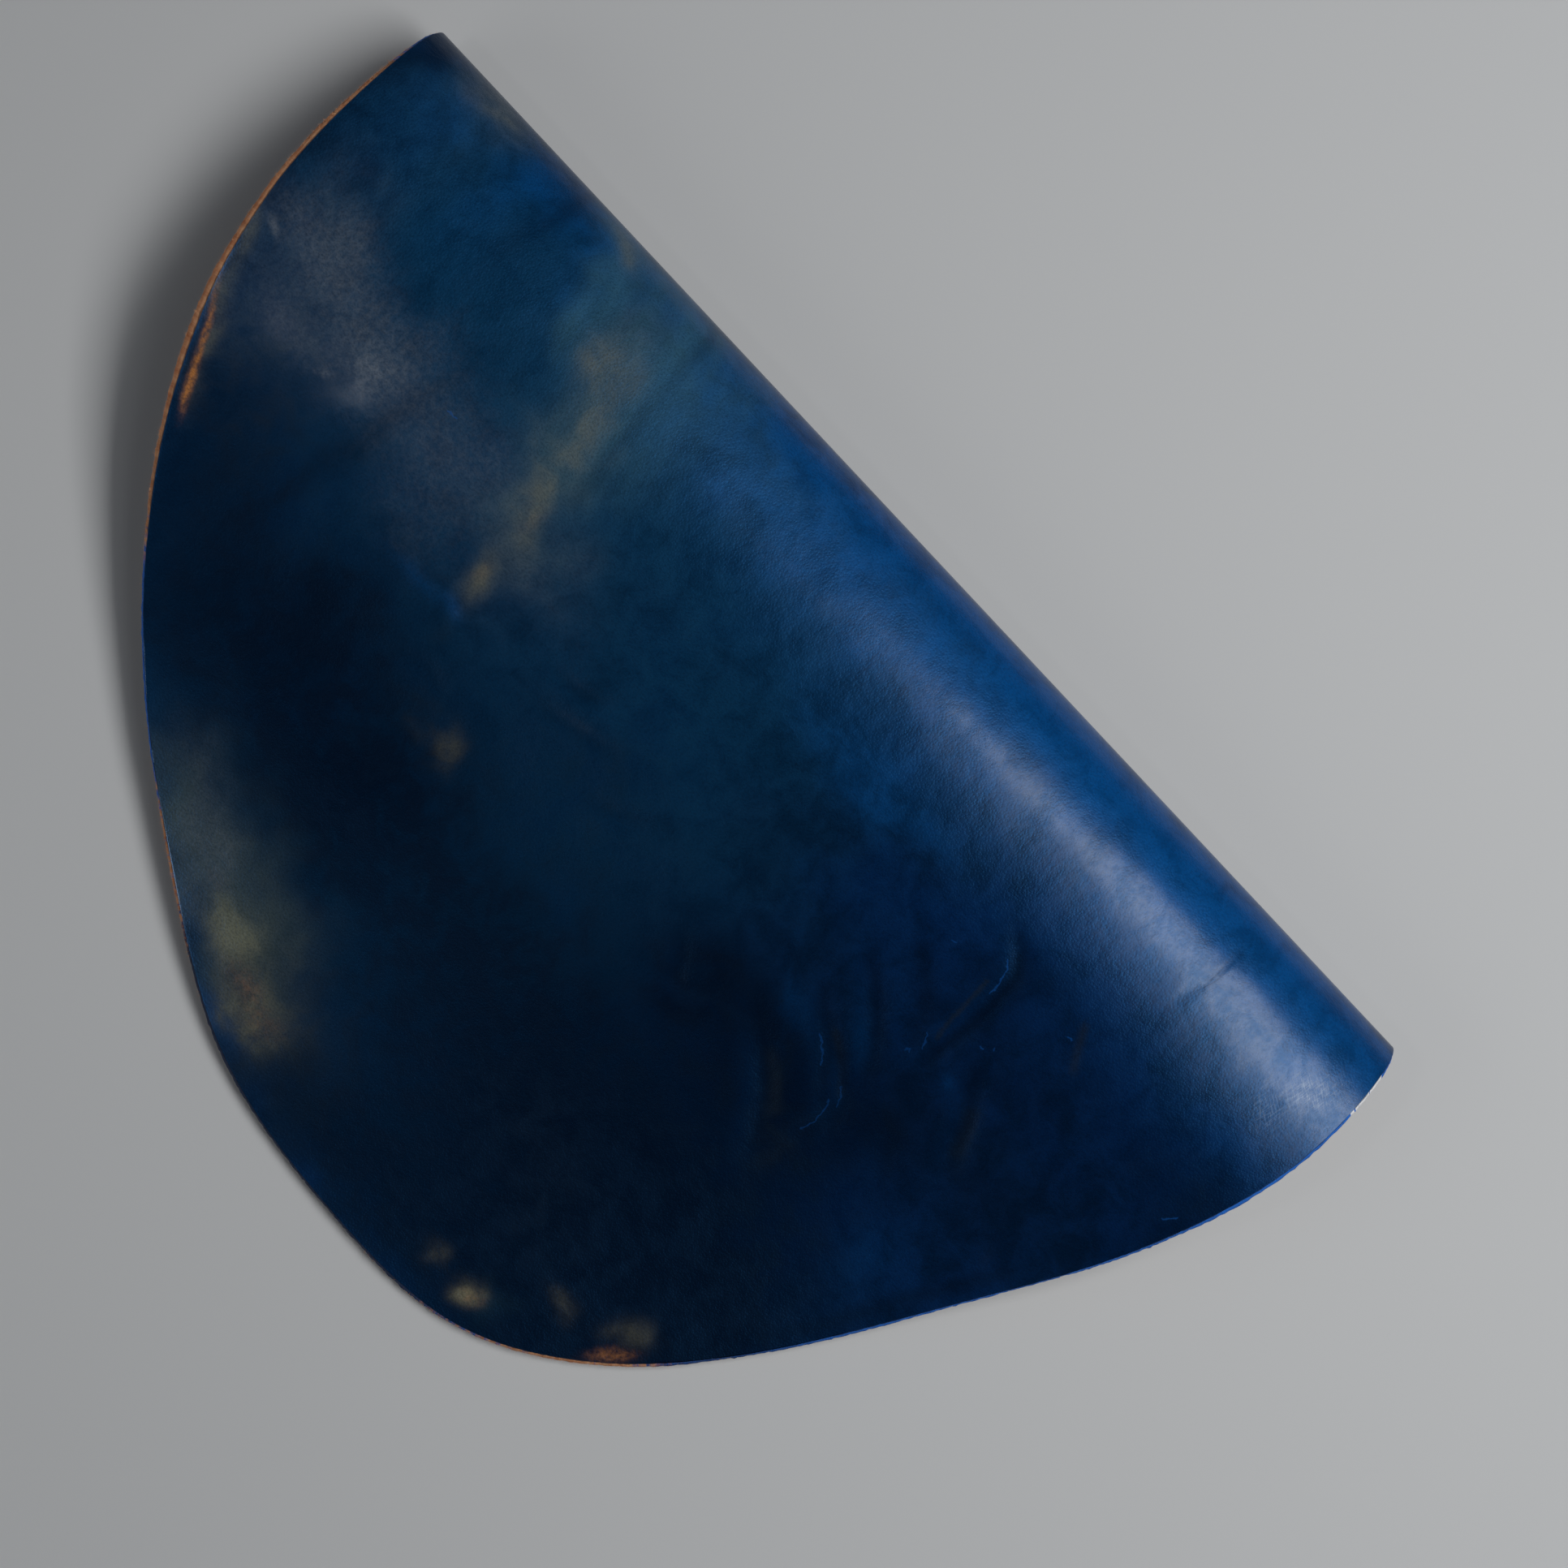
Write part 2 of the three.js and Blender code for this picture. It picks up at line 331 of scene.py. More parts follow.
def unevenness(along, across, past):
    """Curls of the rim and swells of the upper half. past is the way past the crest."""
    rim = np.exp(-rim_distance(along, across) / CURL_FADE)
    curls = round_spots(RIM_CURLS, along, across) * rim
    swells = layered_noise(SOFT_SWELLS, along, across)
    for a, c, rise, length, width in SWELLS:
        swells = swells + rise * np.exp(-(((along - a) / length) ** 2) - ((across - c) / width) ** 2)
    return (curls + swells) * smooth_step(past, 0, SWELLS_FULL_AT)


print(f"the middle of the fold is {rim_distance(fold_middle, fold_middle)[0]:.0f} mm from the cut")

# %% The shape of the folded hide
# way over the hide from the fold line to the crest, as a share of the crest's depth
CREST_WAY = 1.24


def hide_at(along, across):
    """The middle of the hide's thickness, in millimetres, fold line at Y = 0."""
    crest_height = section_value("crest_height", along)
    crest_depth = section_value("crest_depth", along)
    nose_height = section_value("nose_height", along)
    rest_height = section_value("rest_height", along)
    under = nose_height - THICKNESS / 2

    quarter = under * math.pi / 2
    turn = np.clip(-across / quarter, 0, 1) * math.pi / 2
    low_depth = under * (1 - np.cos(turn)) + np.maximum(-across - quarter, 0)
    low_height = nose_height - under * np.sin(turn)

    rise = crest_height - nose_height
    fall = crest_height - rest_height
    quarter = CREST_WAY * crest_depth
    turn = np.clip(across / quarter, 0, 1) * math.pi / 2
    past = np.maximum(across - quarter, 0)
    fall_length = crest_depth * np.sqrt(2 * fall / rise)
    bell = rest_height + fall * np.exp(-((past / fall_length) ** 2)) + unevenness(along, across, past)
    high_depth = crest_depth * (1 - np.cos(turn)) + past
    high_height = np.where(past > 0, bell, nose_height + rise * np.sin(turn))

    upper = across >= 0
    depth = np.where(upper, high_depth, low_depth)
    height = np.where(upper, high_height, low_height)
    return np.stack([along, -depth, height], axis=-1)


def grain_normal(along, across, step=0.5):
    """Unit vectors square to the hide, out of its grain side."""
    over = hide_at(along, across + step) - hide_at(along, across - step)
    beside = hide_at(along + step, across) - hide_at(along - step, across)
    normal = np.cross(over, beside)
    return normal / np.linalg.norm(normal, axis=-1, keepdims=True)


levels = np.linspace(0, 300, 7)
heights = hide_at(np.zeros(7), levels)[:, 2]
print("heights each 50 mm over the middle of the fold, in mm:", np.round(heights, 1).tolist())

# %% [markdown]
# ## A grid over the oval
# Straight rows follow the fold through the nose, where the bend is tight.
# Past it, the rows of each half are blended into the curve of the free edge,
# so that every cell keeps a good shape and the rim is one clean line. The
# lower half is hidden and has longer cells.

# %% Where the rows meet the outline
# row numbers of the outline where the fold ends, and where a side turns into a free edge
FOLD_RIGHT = len(UPPER_OUTLINE)
FOLD_LEFT = len(OUTLINE)
UPPER_LEFT_TURN = 5.5
UPPER_RIGHT_TURN = 10.8
LOWER_RIGHT_TURN = FOLD_RIGHT + 4.3
LOWER_LEFT_TURN = FOLD_RIGHT + 9.7
HALVINGS = 40


def outline_row_at(across, start, end):
    """The row number between start and end where the outline reaches across."""
    rising = outline_at(end)[1] > outline_at(start)[1]
    low, high = start, end
    for _ in range(HALVINGS):
        halfway = (low + high) / 2
        if (outline_at(halfway)[1] < across) == rising:
            low = halfway
        else:
            high = halfway
    return (low + high) / 2


def straight_ends(across):
    """Row numbers of the outline at the two ends of a straight row."""
    if across > 0:
        left = outline_row_at(across, 0, UPPER_LEFT_TURN)
        return left, outline_row_at(across, UPPER_RIGHT_TURN, FOLD_RIGHT)
    left = outline_row_at(across, LOWER_LEFT_TURN, FOLD_LEFT)
    return left, outline_row_at(across, FOLD_RIGHT, LOWER_RIGHT_TURN)


fold_ends = [outline_at(row)[0] for row in straight_ends(0)]
print("the fold line runs from", np.round(fold_ends, 1).tolist(), "mm")

# %% Rows and columns of places on the hide
COLUMNS = 300
NOSE_LOWER = -28
NOSE_UPPER = 100
NOSE_LOWER_ROWS = 14
NOSE_UPPER_ROWS = 60
UPPER_ROWS = 126
LOWER_ROWS = 30


def mix(a, b, t):
    return a + (b - a) * t


def half_rows(start, left_turn, right_turn, count):
    """Rows from a straight one at start to the free edge between two turns."""
    left_row, right_row = straight_ends(start)
    top_left, top_right = outline_at(left_row), outline_at(right_row)
    far_left, far_right = outline_at(left_turn), outline_at(right_turn)
    u = np.linspace(0, 1, COLUMNS + 1)[:, None]
    far = outline_at(np.linspace(left_turn, right_turn, COLUMNS + 1))
    rows = []
    for v in np.arange(1, count + 1) / count:
        left = outline_at(mix(left_row, left_turn, v))
        right = outline_at(mix(right_row, right_turn, v))
        plain = mix(mix(top_left, top_right, u), mix(far_left, far_right, u), v)
        rows.append(mix(mix(top_left, top_right, u), far, v) + mix(left, right, u) - plain)
    return rows


def hide_rows():
    """All rows of the hide, from the lower free edge to the upper one."""
    lower_levels = NOSE_LOWER * (1 - np.arange(NOSE_LOWER_ROWS) / NOSE_LOWER_ROWS)
    upper_levels = NOSE_UPPER * np.arange(NOSE_UPPER_ROWS + 1) / NOSE_UPPER_ROWS
    u = np.linspace(0, 1, COLUMNS + 1)[:, None]
    nose = []
    for across in [*lower_levels, *upper_levels]:
        left_row, right_row = straight_ends(across)
        nose.append(mix(outline_at(left_row), outline_at(right_row), u))
    upper = half_rows(NOSE_UPPER, UPPER_LEFT_TURN, UPPER_RIGHT_TURN, UPPER_ROWS)
    lower = half_rows(NOSE_LOWER, LOWER_LEFT_TURN, LOWER_RIGHT_TURN, LOWER_ROWS)
    return np.array(lower[::-1] + nose + upper)


places = hide_rows()
ROWS = len(places) - 1
print(f"grid of {COLUMNS} x {ROWS} cells")

# %% [markdown]
# ## Signs of handling
# Leather that was rolled, stacked and turned over is never quite smooth. A bump
# in the shader would show that only in the light. Here the points themselves
# move along the grain's normal, down in a trough and up on its shoulder, so the
# creases show from every side and stay in the mesh. A faint, slow
# unevenness is added past the fold.

# %% Press the creases into the hide
# columns: size, height, seed
HANDLING = [
    (23, 0.16, 8),
    (9, 0.05, 11),
]
HANDLING_FROM = 5
HANDLING_FULL_AT = 30

grid_along, grid_across = places[..., 0], places[..., 1]
middle = hide_at(grid_along, grid_across)
normal = grain_normal(grid_along, grid_across)
trough, ridge = crease_relief(grid_along, grid_across)
handled = layered_noise(HANDLING, grid_along, grid_across)
handled = handled * smooth_step(grid_across, HANDLING_FROM, HANDLING_FULL_AT)
middle = middle + normal * (ridge - trough + handled)[..., None]
print(f"troughs to {trough.max():.2f}, shoulders to {ridge.max():.2f}, uneven by {np.ptp(handled):.2f} mm")

# %% [markdown]
# ## One closed hide
# The grain side, the flesh side and the cut edge are one mesh, so the leather
# has its true thickness from every side. The flesh side has cells twice as
# long, since suede shows no fine relief, and its border cells take in the
# extra corners of the rim. The knife ran at a slant, so the flesh side stands
# out a little past the grain side, more at the two ends of the fold.

# %% The profile of the cut edge
# columns: way through the thickness, way out as a share of the slant
EDGE_PROFILE = [
    (0.0, -0.30),
    (0.08, -0.16),
    (0.45, 0.12),
    (0.85, 0.50),
    (1.0, 0.44),
]
EDGE_ROUGHNESS = 0.1
SLANT = 1.25
SLANT_WANDER = (30, 0.2, 9)
LOWER_SLANT_SHARE = 0.4

# columns: along, across, reach, extra slant
WIDER_CUTS = [
    (-229, 82, 32, 1.2),
    (-213, 138, 36, 1.9),
    (-187, 186, 26, 0.6),
    (222, 84, 50, 0.5),
    (150, 240, 60, 0.3),
]


def rim_loop():
    """Rows and columns of the grid round its rim, once round."""
    loop = [(0, i) for i in range(COLUMNS)]
    loop += [(j, COLUMNS) for j in range(ROWS)]
    loop += [(ROWS, i) for i in range(COLUMNS, 0, -1)]
    loop += [(j, 0) for j in range(ROWS, 0, -1)]
    rows, columns = np.array(loop).T
    return rows, columns


rim = rim_loop()
rim_place, rim_middle, rim_normal = places[rim], middle[rim], normal[rim]
rim_way = np.roll(rim_middle, -1, axis=0) - np.roll(rim_middle, 1, axis=0)
rim_out = np.cross(rim_way, rim_normal)
rim_out /= np.linalg.norm(rim_out, axis=1, keepdims=True)
inside = middle[ROWS // 2, COLUMNS // 2]
if np.mean(np.sum(rim_out * (rim_middle - inside), axis=1)) < 0:
    rim_out = -rim_out
rim_slant = SLANT * (1 + layered_noise([SLANT_WANDER], *rim_place.T))
rim_slant = rim_slant + round_spots(WIDER_CUTS, *rim_place.T)
rim_slant = np.where(rim_place[:, 1] < 0, LOWER_SLANT_SHARE * rim_slant, rim_slant)
print(f"rim of {len(rim_place)} points, slant {rim_slant.min():.1f} to {rim_slant.max():.1f} mm")


# %% Points of the grain side and the flesh side
def edge_ring(depth, out, seed):
    """One line of points round the cut edge, at a depth through the thickness."""
    inner = 0 < depth < 1
    rough = np.random.default_rng(seed).normal(0, EDGE_ROUGHNESS, len(rim_place)) if inner else 0
    away = (out * rim_slant + rough)[:, None]
    return rim_middle + rim_normal * THICKNESS * (0.5 - depth) + rim_out * away


grain_side = middle + normal * THICKNESS / 2
flesh_side = middle - normal * THICKNESS / 2
grain_side[rim] = edge_ring(*EDGE_PROFILE[0], seed=0)
flesh_side[rim] = edge_ring(*EDGE_PROFILE[-1], seed=0)

grain_index = np.arange(grain_side[..., 0].size).reshape(grain_side.shape[:2])
kept = np.zeros(grain_index.shape, bool)
kept[::2, ::2] = True
kept[rim] = True
flesh_index = np.full(grain_index.shape, -1)
flesh_index[kept] = grain_index.size + np.arange(kept.sum())

point_parts = [grain_side.reshape(-1, 3), flesh_side[kept]]
place_parts = [places.reshape(-1, 2), places[kept]]
through_parts = [np.zeros(grain_index.size), np.ones(kept.sum())]
print(f"{grain_index.size} points on the grain side, {kept.sum()} on the flesh side")

# %% Faces of the two sides
GRAIN, EDGE, FLESH = 0, 1, 2
GRAIN_CORNERS = [(0, 0), (1, 0), (1, 1), (0, 1)]
FLESH_CORNERS = [(0, 0), (0, 1), (0, 2), (1, 2), (2, 2), (2, 1), (2, 0), (1, 0)]


def side_faces(index, corners, step):
    """One face for each cell, of those of its corners that the side has."""
    found = []
    for j in range(0, ROWS, step):
        for i in range(0, COLUMNS, step):
            cell = [index[j + dj, i + di] for dj, di in corners]
            found.append(tuple(point for point in cell if point >= 0))
    return found


faces = side_faces(grain_index, GRAIN_CORNERS, 1)
slots = [GRAIN] * len(faces)
faces += side_faces(flesh_index, FLESH_CORNERS, 2)
slots += [FLESH] * (len(faces) - len(slots))
print(slots.count(GRAIN), "grain faces,", slots.count(FLESH), "flesh faces")

# %% Rings of the cut edge between them
EDGE_SEED = 20

rings = [grain_index[rim]]
for k, (depth, out) in enumerate(EDGE_PROFILE[1:-1], 1):
    first = sum(len(part) for part in point_parts)
    rings.append(np.arange(first, first + len(rim_place)))
    point_parts.append(edge_ring(depth, out, EDGE_SEED + k))
    place_parts.append(rim_place)
    through_parts.append(np.full(len(rim_place), depth))
rings.append(flesh_index[rim])

for upper_ring, lower_ring in zip(rings[:-1], rings[1:]):
    for k in range(len(upper_ring)):
        n = (k + 1) % len(upper_ring)
        faces.append((upper_ring[k], upper_ring[n], lower_ring[n], lower_ring[k]))
slots += [EDGE] * (len(faces) - len(slots))
print(slots.count(EDGE), "faces round the cut edge, in", len(rings) - 1, "strips")

# %% The hide as a mesh
points = np.concatenate(point_parts)
hide_places = np.concatenate(place_parts)
through = np.concatenate(through_parts)
points[:, 0] -= (points[:, 0].min() + points[:, 0].max()) / 2
points[:, 1] += cad_high.y / MM - points[:, 1].max()
points[:, 2] -= points[:, 2].min()

hide_mesh = bpy.data.meshes.new("folded_hide")
hide_mesh.from_pydata((points * MM).tolist(), [], faces)
hide_mesh.polygons.foreach_set("material_index", slots)
hide_mesh.polygons.foreach_set("use_smooth", [True] * len(faces))
hide_mesh.validate()
hide_mesh.update()
hide = bpy.data.objects.new("folded_hide", hide_mesh)
bpy.context.collection.objects.link(hide)
print(f"hide: {len(points)} points, {len(faces)} faces")

# %% [markdown]
# ## A map of the flat hide
# Dye, grain and scuffs belong to the hide and not to the room, so they follow a
# UV map that is the flat pattern itself, in metres. `across` is close to the
# true way over the leather, which keeps the grain unstretched. The two borders
# of the cut edge are marked sharp, because a knife leaves a crisp corner.

# %% UV map and sharp rims
uv_layer = hide_mesh.uv_layers.new(name="hide")
corner_points = np.empty(len(hide_mesh.loops), np.int32)
hide_mesh.loops.foreach_get("vertex_index", corner_points)
uv_layer.uv.foreach_set("vector", (hide_places[corner_points] * MM).ravel())

rim_edges = set()
for ring in (rings[0], rings[-1]):
    for k in range(len(ring)):
        rim_edges.add(tuple(sorted((int(ring[k]), int(ring[(k + 1) % len(ring)])))))
sharp = [tuple(sorted(edge.vertices)) in rim_edges for edge in hide_mesh.edges]
hide_mesh.attributes.new("sharp_edge", "BOOLEAN", "EDGE").data.foreach_set("value", sharp)
print("sharp rim edges:", sum(sharp))

# %% [markdown]
# ## Where the dye took, where it didn't, and painted sheen
# The blue was rubbed on by hand, so it is uneven: half-dyed olive clouds, places
# where the tan leather shows, brighter blue pools and deep navy ones. A painted
# picture could show that, but it would blur close up. Instead each mark is a
# soft oval placed on the hide. The table gives one row for each, and
# their sum is kept as an attribute of the mesh, one for each kind of mark. The
# shader breaks their borders up with fine noise later.
# The veil kind is painted sheen, a pale haze of reflected light put into the colour, and the bloom kind is
# wax bloom with the same painted reflection in it.

# %% Dye marks
# columns: kind, along, across, length, width, turn in degrees, strength
DYE_MARKS = [
    ("bare", -207, 142, 17, 1.3, 62, 0.6),
    ("bare", -199, 157, 8, 1.6, 66, 0.6),
    ("bare", -90, 102, 3, 8, 20, 0.1),
    ("bare", -90, 126, 2.2, 4.5, 10, 0.16),
    ("bare", -136, 19, 4, 2.5, 0, 0.08),
    ("bare", -34, 284, 9, 5, -20, 0.12),
    ("bare", -48, 279, 11, 5, 8, 0.2),
    ("bare", -78, 262, 7, 3, 0, 0.1),
    ("bare", 82, 294, 5, 3.5, -20, 0.2),
    ("bare", 128, 273, 8, 2.6, -47, 0.6),
    ("olive", -221, 108, 14, 3, 62, 0.25),
    ("olive", -208, 138, 26, 5, 63, 0.35),
    ("olive", -190, 135, 30, 22, 50, 0.1),
    # veil rows: painted sheen, a pale haze of reflected light laid into the colour
    ("painted_sheen_veil", -117, 42, 40, 22, 66, 0.42),
    ("painted_sheen_veil", -97, 70, 46, 12, 84, 0.26),
    ("painted_sheen_veil", -122, 12, 30, 16, 0, 0.22),
    ("painted_sheen_veil", -102, 98, 26, 14, 66, 0.18),
    ("painted_sheen_veil", -82, 44, 18, 44, 0, 0.32),
    ("painted_sheen_veil", -200, 20, 24, 24, 0, 0.2),
    ("painted_sheen_veil", -52, 40, 34, 20, 0, 0.2),
    ("painted_sheen_veil", -135, 36, 9, 26, -24, 0.38),
    ("painted_sheen_veil", -98, 22, 8, 18, -8, 0.3),
    ("painted_sheen_veil", -72, 100, 30, 24, 0, 0.14),
    ("painted_sheen_veil", -204, 46, 26, 34, 0, 0.16),
    ("painted_sheen_veil", 20, 36, 80, 12, 0, 0.16),
    ("painted_sheen_veil", 88, 291, 9, 7, -30, 0.25),
    ("painted_sheen_veil", -62, 286, 12, 8, 30, 0.2),
    ("olive", -138, 21, 10, 6, 60, 0.34),
    ("olive", -117, 44, 14, 7, 60, 0.12),
    ("olive", -113, 59, 10, 7, 50, 0.25),
    ("olive", -98, 76, 18, 6, 75, 0.12),
    ("olive", -92, 101, 10, 6, 60, 0.28),
    ("olive", -89, 127, 9, 4.5, 75, 0.42),
    ("olive", -78, 110, 24, 20, 30, 0.12),
    ("olive", -99, 78, 40, 13, 78, 0.22),
    ("olive", -200, 112, 30, 18, 0, 0.14),
    ("olive", -201, 18, 16, 11, 60, 0.4),
    ("olive", -204, 80, 24, 16, 0, 0.12),
    ("olive", -56, 176, 10, 7, 60, 0.3),
    ("olive", -70, 178, 8, 5, 0, 0.12),
    ("olive", -62, 272, 11, 7, 10, 0.6),
    ("olive", -42, 284, 15, 8, -10, 0.4),
    ("olive", -92, 252, 26, 10, 36, 0.1),
    ("olive", -54, 268, 40, 22, 16, 0.16),
    ("olive", -34, 291, 12, 4, -8, 0.14),
    ("olive", -104, 56, 26, 9, 84, 0.12),
    ("olive", -101, 97, 14, 10, 70, 0.12),
    ("olive", -134, 22, 12, 5, 30, 0.15),
    ("smoke", -66, 264, 40, 17, 30, 0.3),
    ("smoke", -106, 260, 20, 12, 35, 0.3),
    ("olive", 63, 292, 7, 5, 0, 0.3),
    ("olive", 81, 294, 6, 4, -40, 0.9),
    ("olive", 103, 272, 6, 5, 0, 0.35),
    ("olive", 127, 264, 10, 6, -40, 0.4),
    ("teal", -160, 50, 90, 70, 0, 0.7),
    ("teal", -120, 140, 150, 90, 0, 0.55),
    ("teal", -60, 235, 130, 60, 0, 0.6),
    ("teal", 0, 190, 60, 60, 0, 0.3),
    ("teal", 62, 286, 80, 24, 0, 0.5),
    ("teal", -20, 60, 70, 50, 0, 0.4),
    ("teal", 10, 120, 55, 50, 0, 0.3),
    ("bright", -30, 18, 120, 28, 0, 0.5),
    ("bright", 130, 20, 110, 26, 0, 0.75),
    ("bright", -30, 44, 60, 20, 0, 0.2),
    ("bright", 20, 40, 110, 16, 0, 0.2),
    ("bright", 50, 76, 46, 15, 0, 0.36),
    ("bright", -160, 26, 70, 18, 0, 0.2),
    ("bright", 212, 30, 44, 50, 0, 0.3),
    ("bright", -172, 40, 12, 26, 0, 0.24),
    ("bright", -172, 68, 26, 14, 10, 0.06),
    ("bright", -206, 44, 12, 22, 0, 0.25),
    ("bright", -138, 44, 8, 20, -20, 0.25),
    ("bright", -104, 142, 18, 4, -8, 0.35),
    ("bright", -88, 139, 5, 3, 30, 0.3),
    ("bright", -95, 188, 7, 18, -20, 0.3),
    ("bright", -108, 212, 20, 8, -40, 0.3),
    ("bright", -185, 163, 14, 9, 60, 0.15),
    ("bright", -46, 293, 18, 6, 0, 0.8),
    ("bright", 62, 288, 9, 8, 0, 0.4),
    ("bright", 90, 286, 10, 7, 0, 0.5),
    ("bright", 8, 182, 16, 7, 30, 0.2),
    ("bright", -20, 178, 10, 4, 60, 0.12),
    ("bright", 108, 138, 9, 4, 45, 0.22),
    ("bright", 88, 147, 10, 5, 40, 0.22),
    ("bright", 138, 127, 4, 4, 0, 0.25),
    ("bright", 83, 153, 14, 4, 54, 0.32),
    ("bright", 84, 151, 14, 9, 45, 0.2),
    ("bright", 106, 140, 14, 4, 45, 0.14),
    ("bright", 101, 118, 12, 4, 40, 0.1),
    ("bright", 165, 190, 14, 22, 0, 0.25),
    ("deep", 20, 150, 190, 30, 0, 0.15),
    ("deep", 0, 250, 300, 70, 0, 0.35),
    ("deep", 10, 62, 40, 8, 0, 0.2),
    ("deep", 50, 225, 100, 60, 0, 0.6),
    ("deep", 96, 252, 50, 34, 0, 0.6),
    ("deep", -60, 200, 60, 30, 0, 0.35),
    ("deep", 106, 170, 44, 24, 20, 0.48),
    ("deep", 124, 90, 14, 20, 0, 0.45),
    ("deep", -112, 196, 24, 44, 0, 0.4),
    ("deep", -152, 204, 28, 24, 0, 0.3),
    ("deep", -70, 214, 22, 26, 0, 0.35),
    ("deep", 102, 240, 34, 26, 0, 0.45),
    ("deep", 160, 146, 24, 12, 0, 0.25),
    ("deep", 190, 92, 40, 12, 0, 0.35),
    ("deep", 60, 165, 20, 12, 0, 0.4),
    ("deep", -110, 165, 60, 24, 0, 0.3),
    ("deep", -185, 145, 30, 34, 0, 0.4),
    ("deep", -160, 185, 40, 30, 50, 0.3),
    ("deep", -158, 30, 4.5, 44, 6, 0.45),
    ("deep", -144, 110, 4.5, 44, 12, 0.4),
    ("deep", 222, 100, 20, 26, 0, 0.4),
    ("deep", 40, 292, 130, 18, 0, 0.5),
    ("deep", 140, 235, 26, 30, -40, 0.4),
    ("deep", 56, 176, 9, 6, 0, 0.35),
    ("deep", 30, 118, 20, 9, 0, 0.15),
    ("deep", 158, 114, 26, 12, 10, 0.28),
    ("deep", 130, 152, 12, 8, 0, 0.35),
    ("deep", -20, 140, 24, 14, 0, 0.2),
    ("deep", -228, 20, 9, 60, 0, 0.5),
    ("umber", 100, 174, 17, 5, 52, 0.3),
    ("umber", 116, 182, 8, 12, 0, 0.25),
    ("umber", 153, 136, 12, 3.4, 60, 0.3),
    ("umber", 188, 158, 6, 3, 60, 0.2),
    ("umber", -84, 148, 6, 4, 60, 0.3),
    ("umber", -74, 168, 14, 4, -28, 0.25),
    ("umber", 28, 110, 16, 9, 0, 0.12),
    ("umber", 70, 250, 40, 20, 30, 0.2),
    ("umber", -170, 160, 20, 10, 60, 0.15),
    ("umber", -160, 20, 4, 24, 0, 0.12),
    # bloom rows: wax bloom with a painted reflection of the light in it
    ("wax_bloom_and_painted_sheen", -198, 92, 34, 12, 4, 0.34),
    ("wax_bloom_and_painted_sheen", -163, 112, 12, 9, 20, 0.34),
    ("wax_bloom_and_painted_sheen", -193, 118, 16, 5, 4, 0.18),
    ("wax_bloom_and_painted_sheen", -186, 108, 36, 16, 6, 0.12),
    ("wax_bloom_and_painted_sheen", -132, 106, 46, 24, 3, 0.24),
    ("wax_bloom_and_painted_sheen", -82, 112, 40, 15, 0, 0.1),
    ("wax_bloom_and_painted_sheen", -217, 101, 4, 1.6, 20, 0.4),
    ("wax_bloom_and_painted_sheen", -172, 121, 3, 1.2, -30, 0.35),
    ("wax_bloom_and_painted_sheen", -104, 244, 26, 10, 35, 0.1),
    ("wax_bloom_and_painted_sheen", -88, 262, 30, 15, 34, 0.2),
    ("wax_bloom_and_painted_sheen", 0, 42, 80, 12, 0, 0.1),
    ("wax_bloom_and_painted_sheen", -120, 136, 22, 12, 0, 0.12),
    ("wax_bloom_and_painted_sheen", 216, 50, 9, 5, 0, 0.2),
    ("wax_bloom_and_painted_sheen", 196, 56, 2.6, 1.8, 0, 0.4),
    ("worn", 219, 47, 6, 8, 30, 0.9),
    ("worn", 211, 57, 8, 4, 30, 0.35),
]

print(len(DYE_MARKS), "marks of", len({mark[0] for mark in DYE_MARKS}), "kinds")

# %% Masks of the dye marks
MARK_KINDS = ("bare", "olive", "painted_sheen_veil", "smoke", "teal", "bright", "deep", "umber", "wax_bloom_and_painted_sheen", "worn")
FREE_WIDTH = 12
MASK_CEILING = 1.2

# columns: size, shift, seed; narrow marks wander less, so that they keep their shape
WANDER_ALONG = [
    (14, 6, 31),
    (5, 2.5, 33),
]
WANDER_ACROSS = [
    (14, 6, 32),
    (5, 2.5, 34),
]

all_along, all_across = hide_places.T
wander_along = layered_noise(WANDER_ALONG, all_along, all_across)
wander_across = layered_noise(WANDER_ACROSS, all_along, all_across)


def add_values(mesh, name, values):
    """Keeps one value for each point as an attribute that materials can read."""
    layer = mesh.attributes.new(name, "FLOAT", "POINT")
    layer.data.foreach_set("value", values.astype(np.float32))


def dye_mask(kind):
    """The sum of all marks of one kind at every point of the hide."""
    mask = np.zeros(all_along.shape)
    for _, a, c, length, width, turn, strength in (mark for mark in DYE_MARKS if mark[0] == kind):
        give = min(1.0, min(length, width) / FREE_WIDTH)
        off_a = all_along + give * wander_along - a
        off_c = all_across + give * wander_across - c
        cos, sin = math.cos(math.radians(turn)), math.sin(math.radians(turn))
        u = (off_a * cos + off_c * sin) / length
        v = (off_c * cos - off_a * sin) / width
        mask += strength * np.exp(-(u * u) - v * v)
    return np.clip(mask, 0, MASK_CEILING)


for kind in MARK_KINDS:
    mask = dye_mask(kind)
    add_values(hide_mesh, kind, mask)
    print(kind, "covers", f"{100 * np.mean(mask > 0.3):.0f}% of the points")
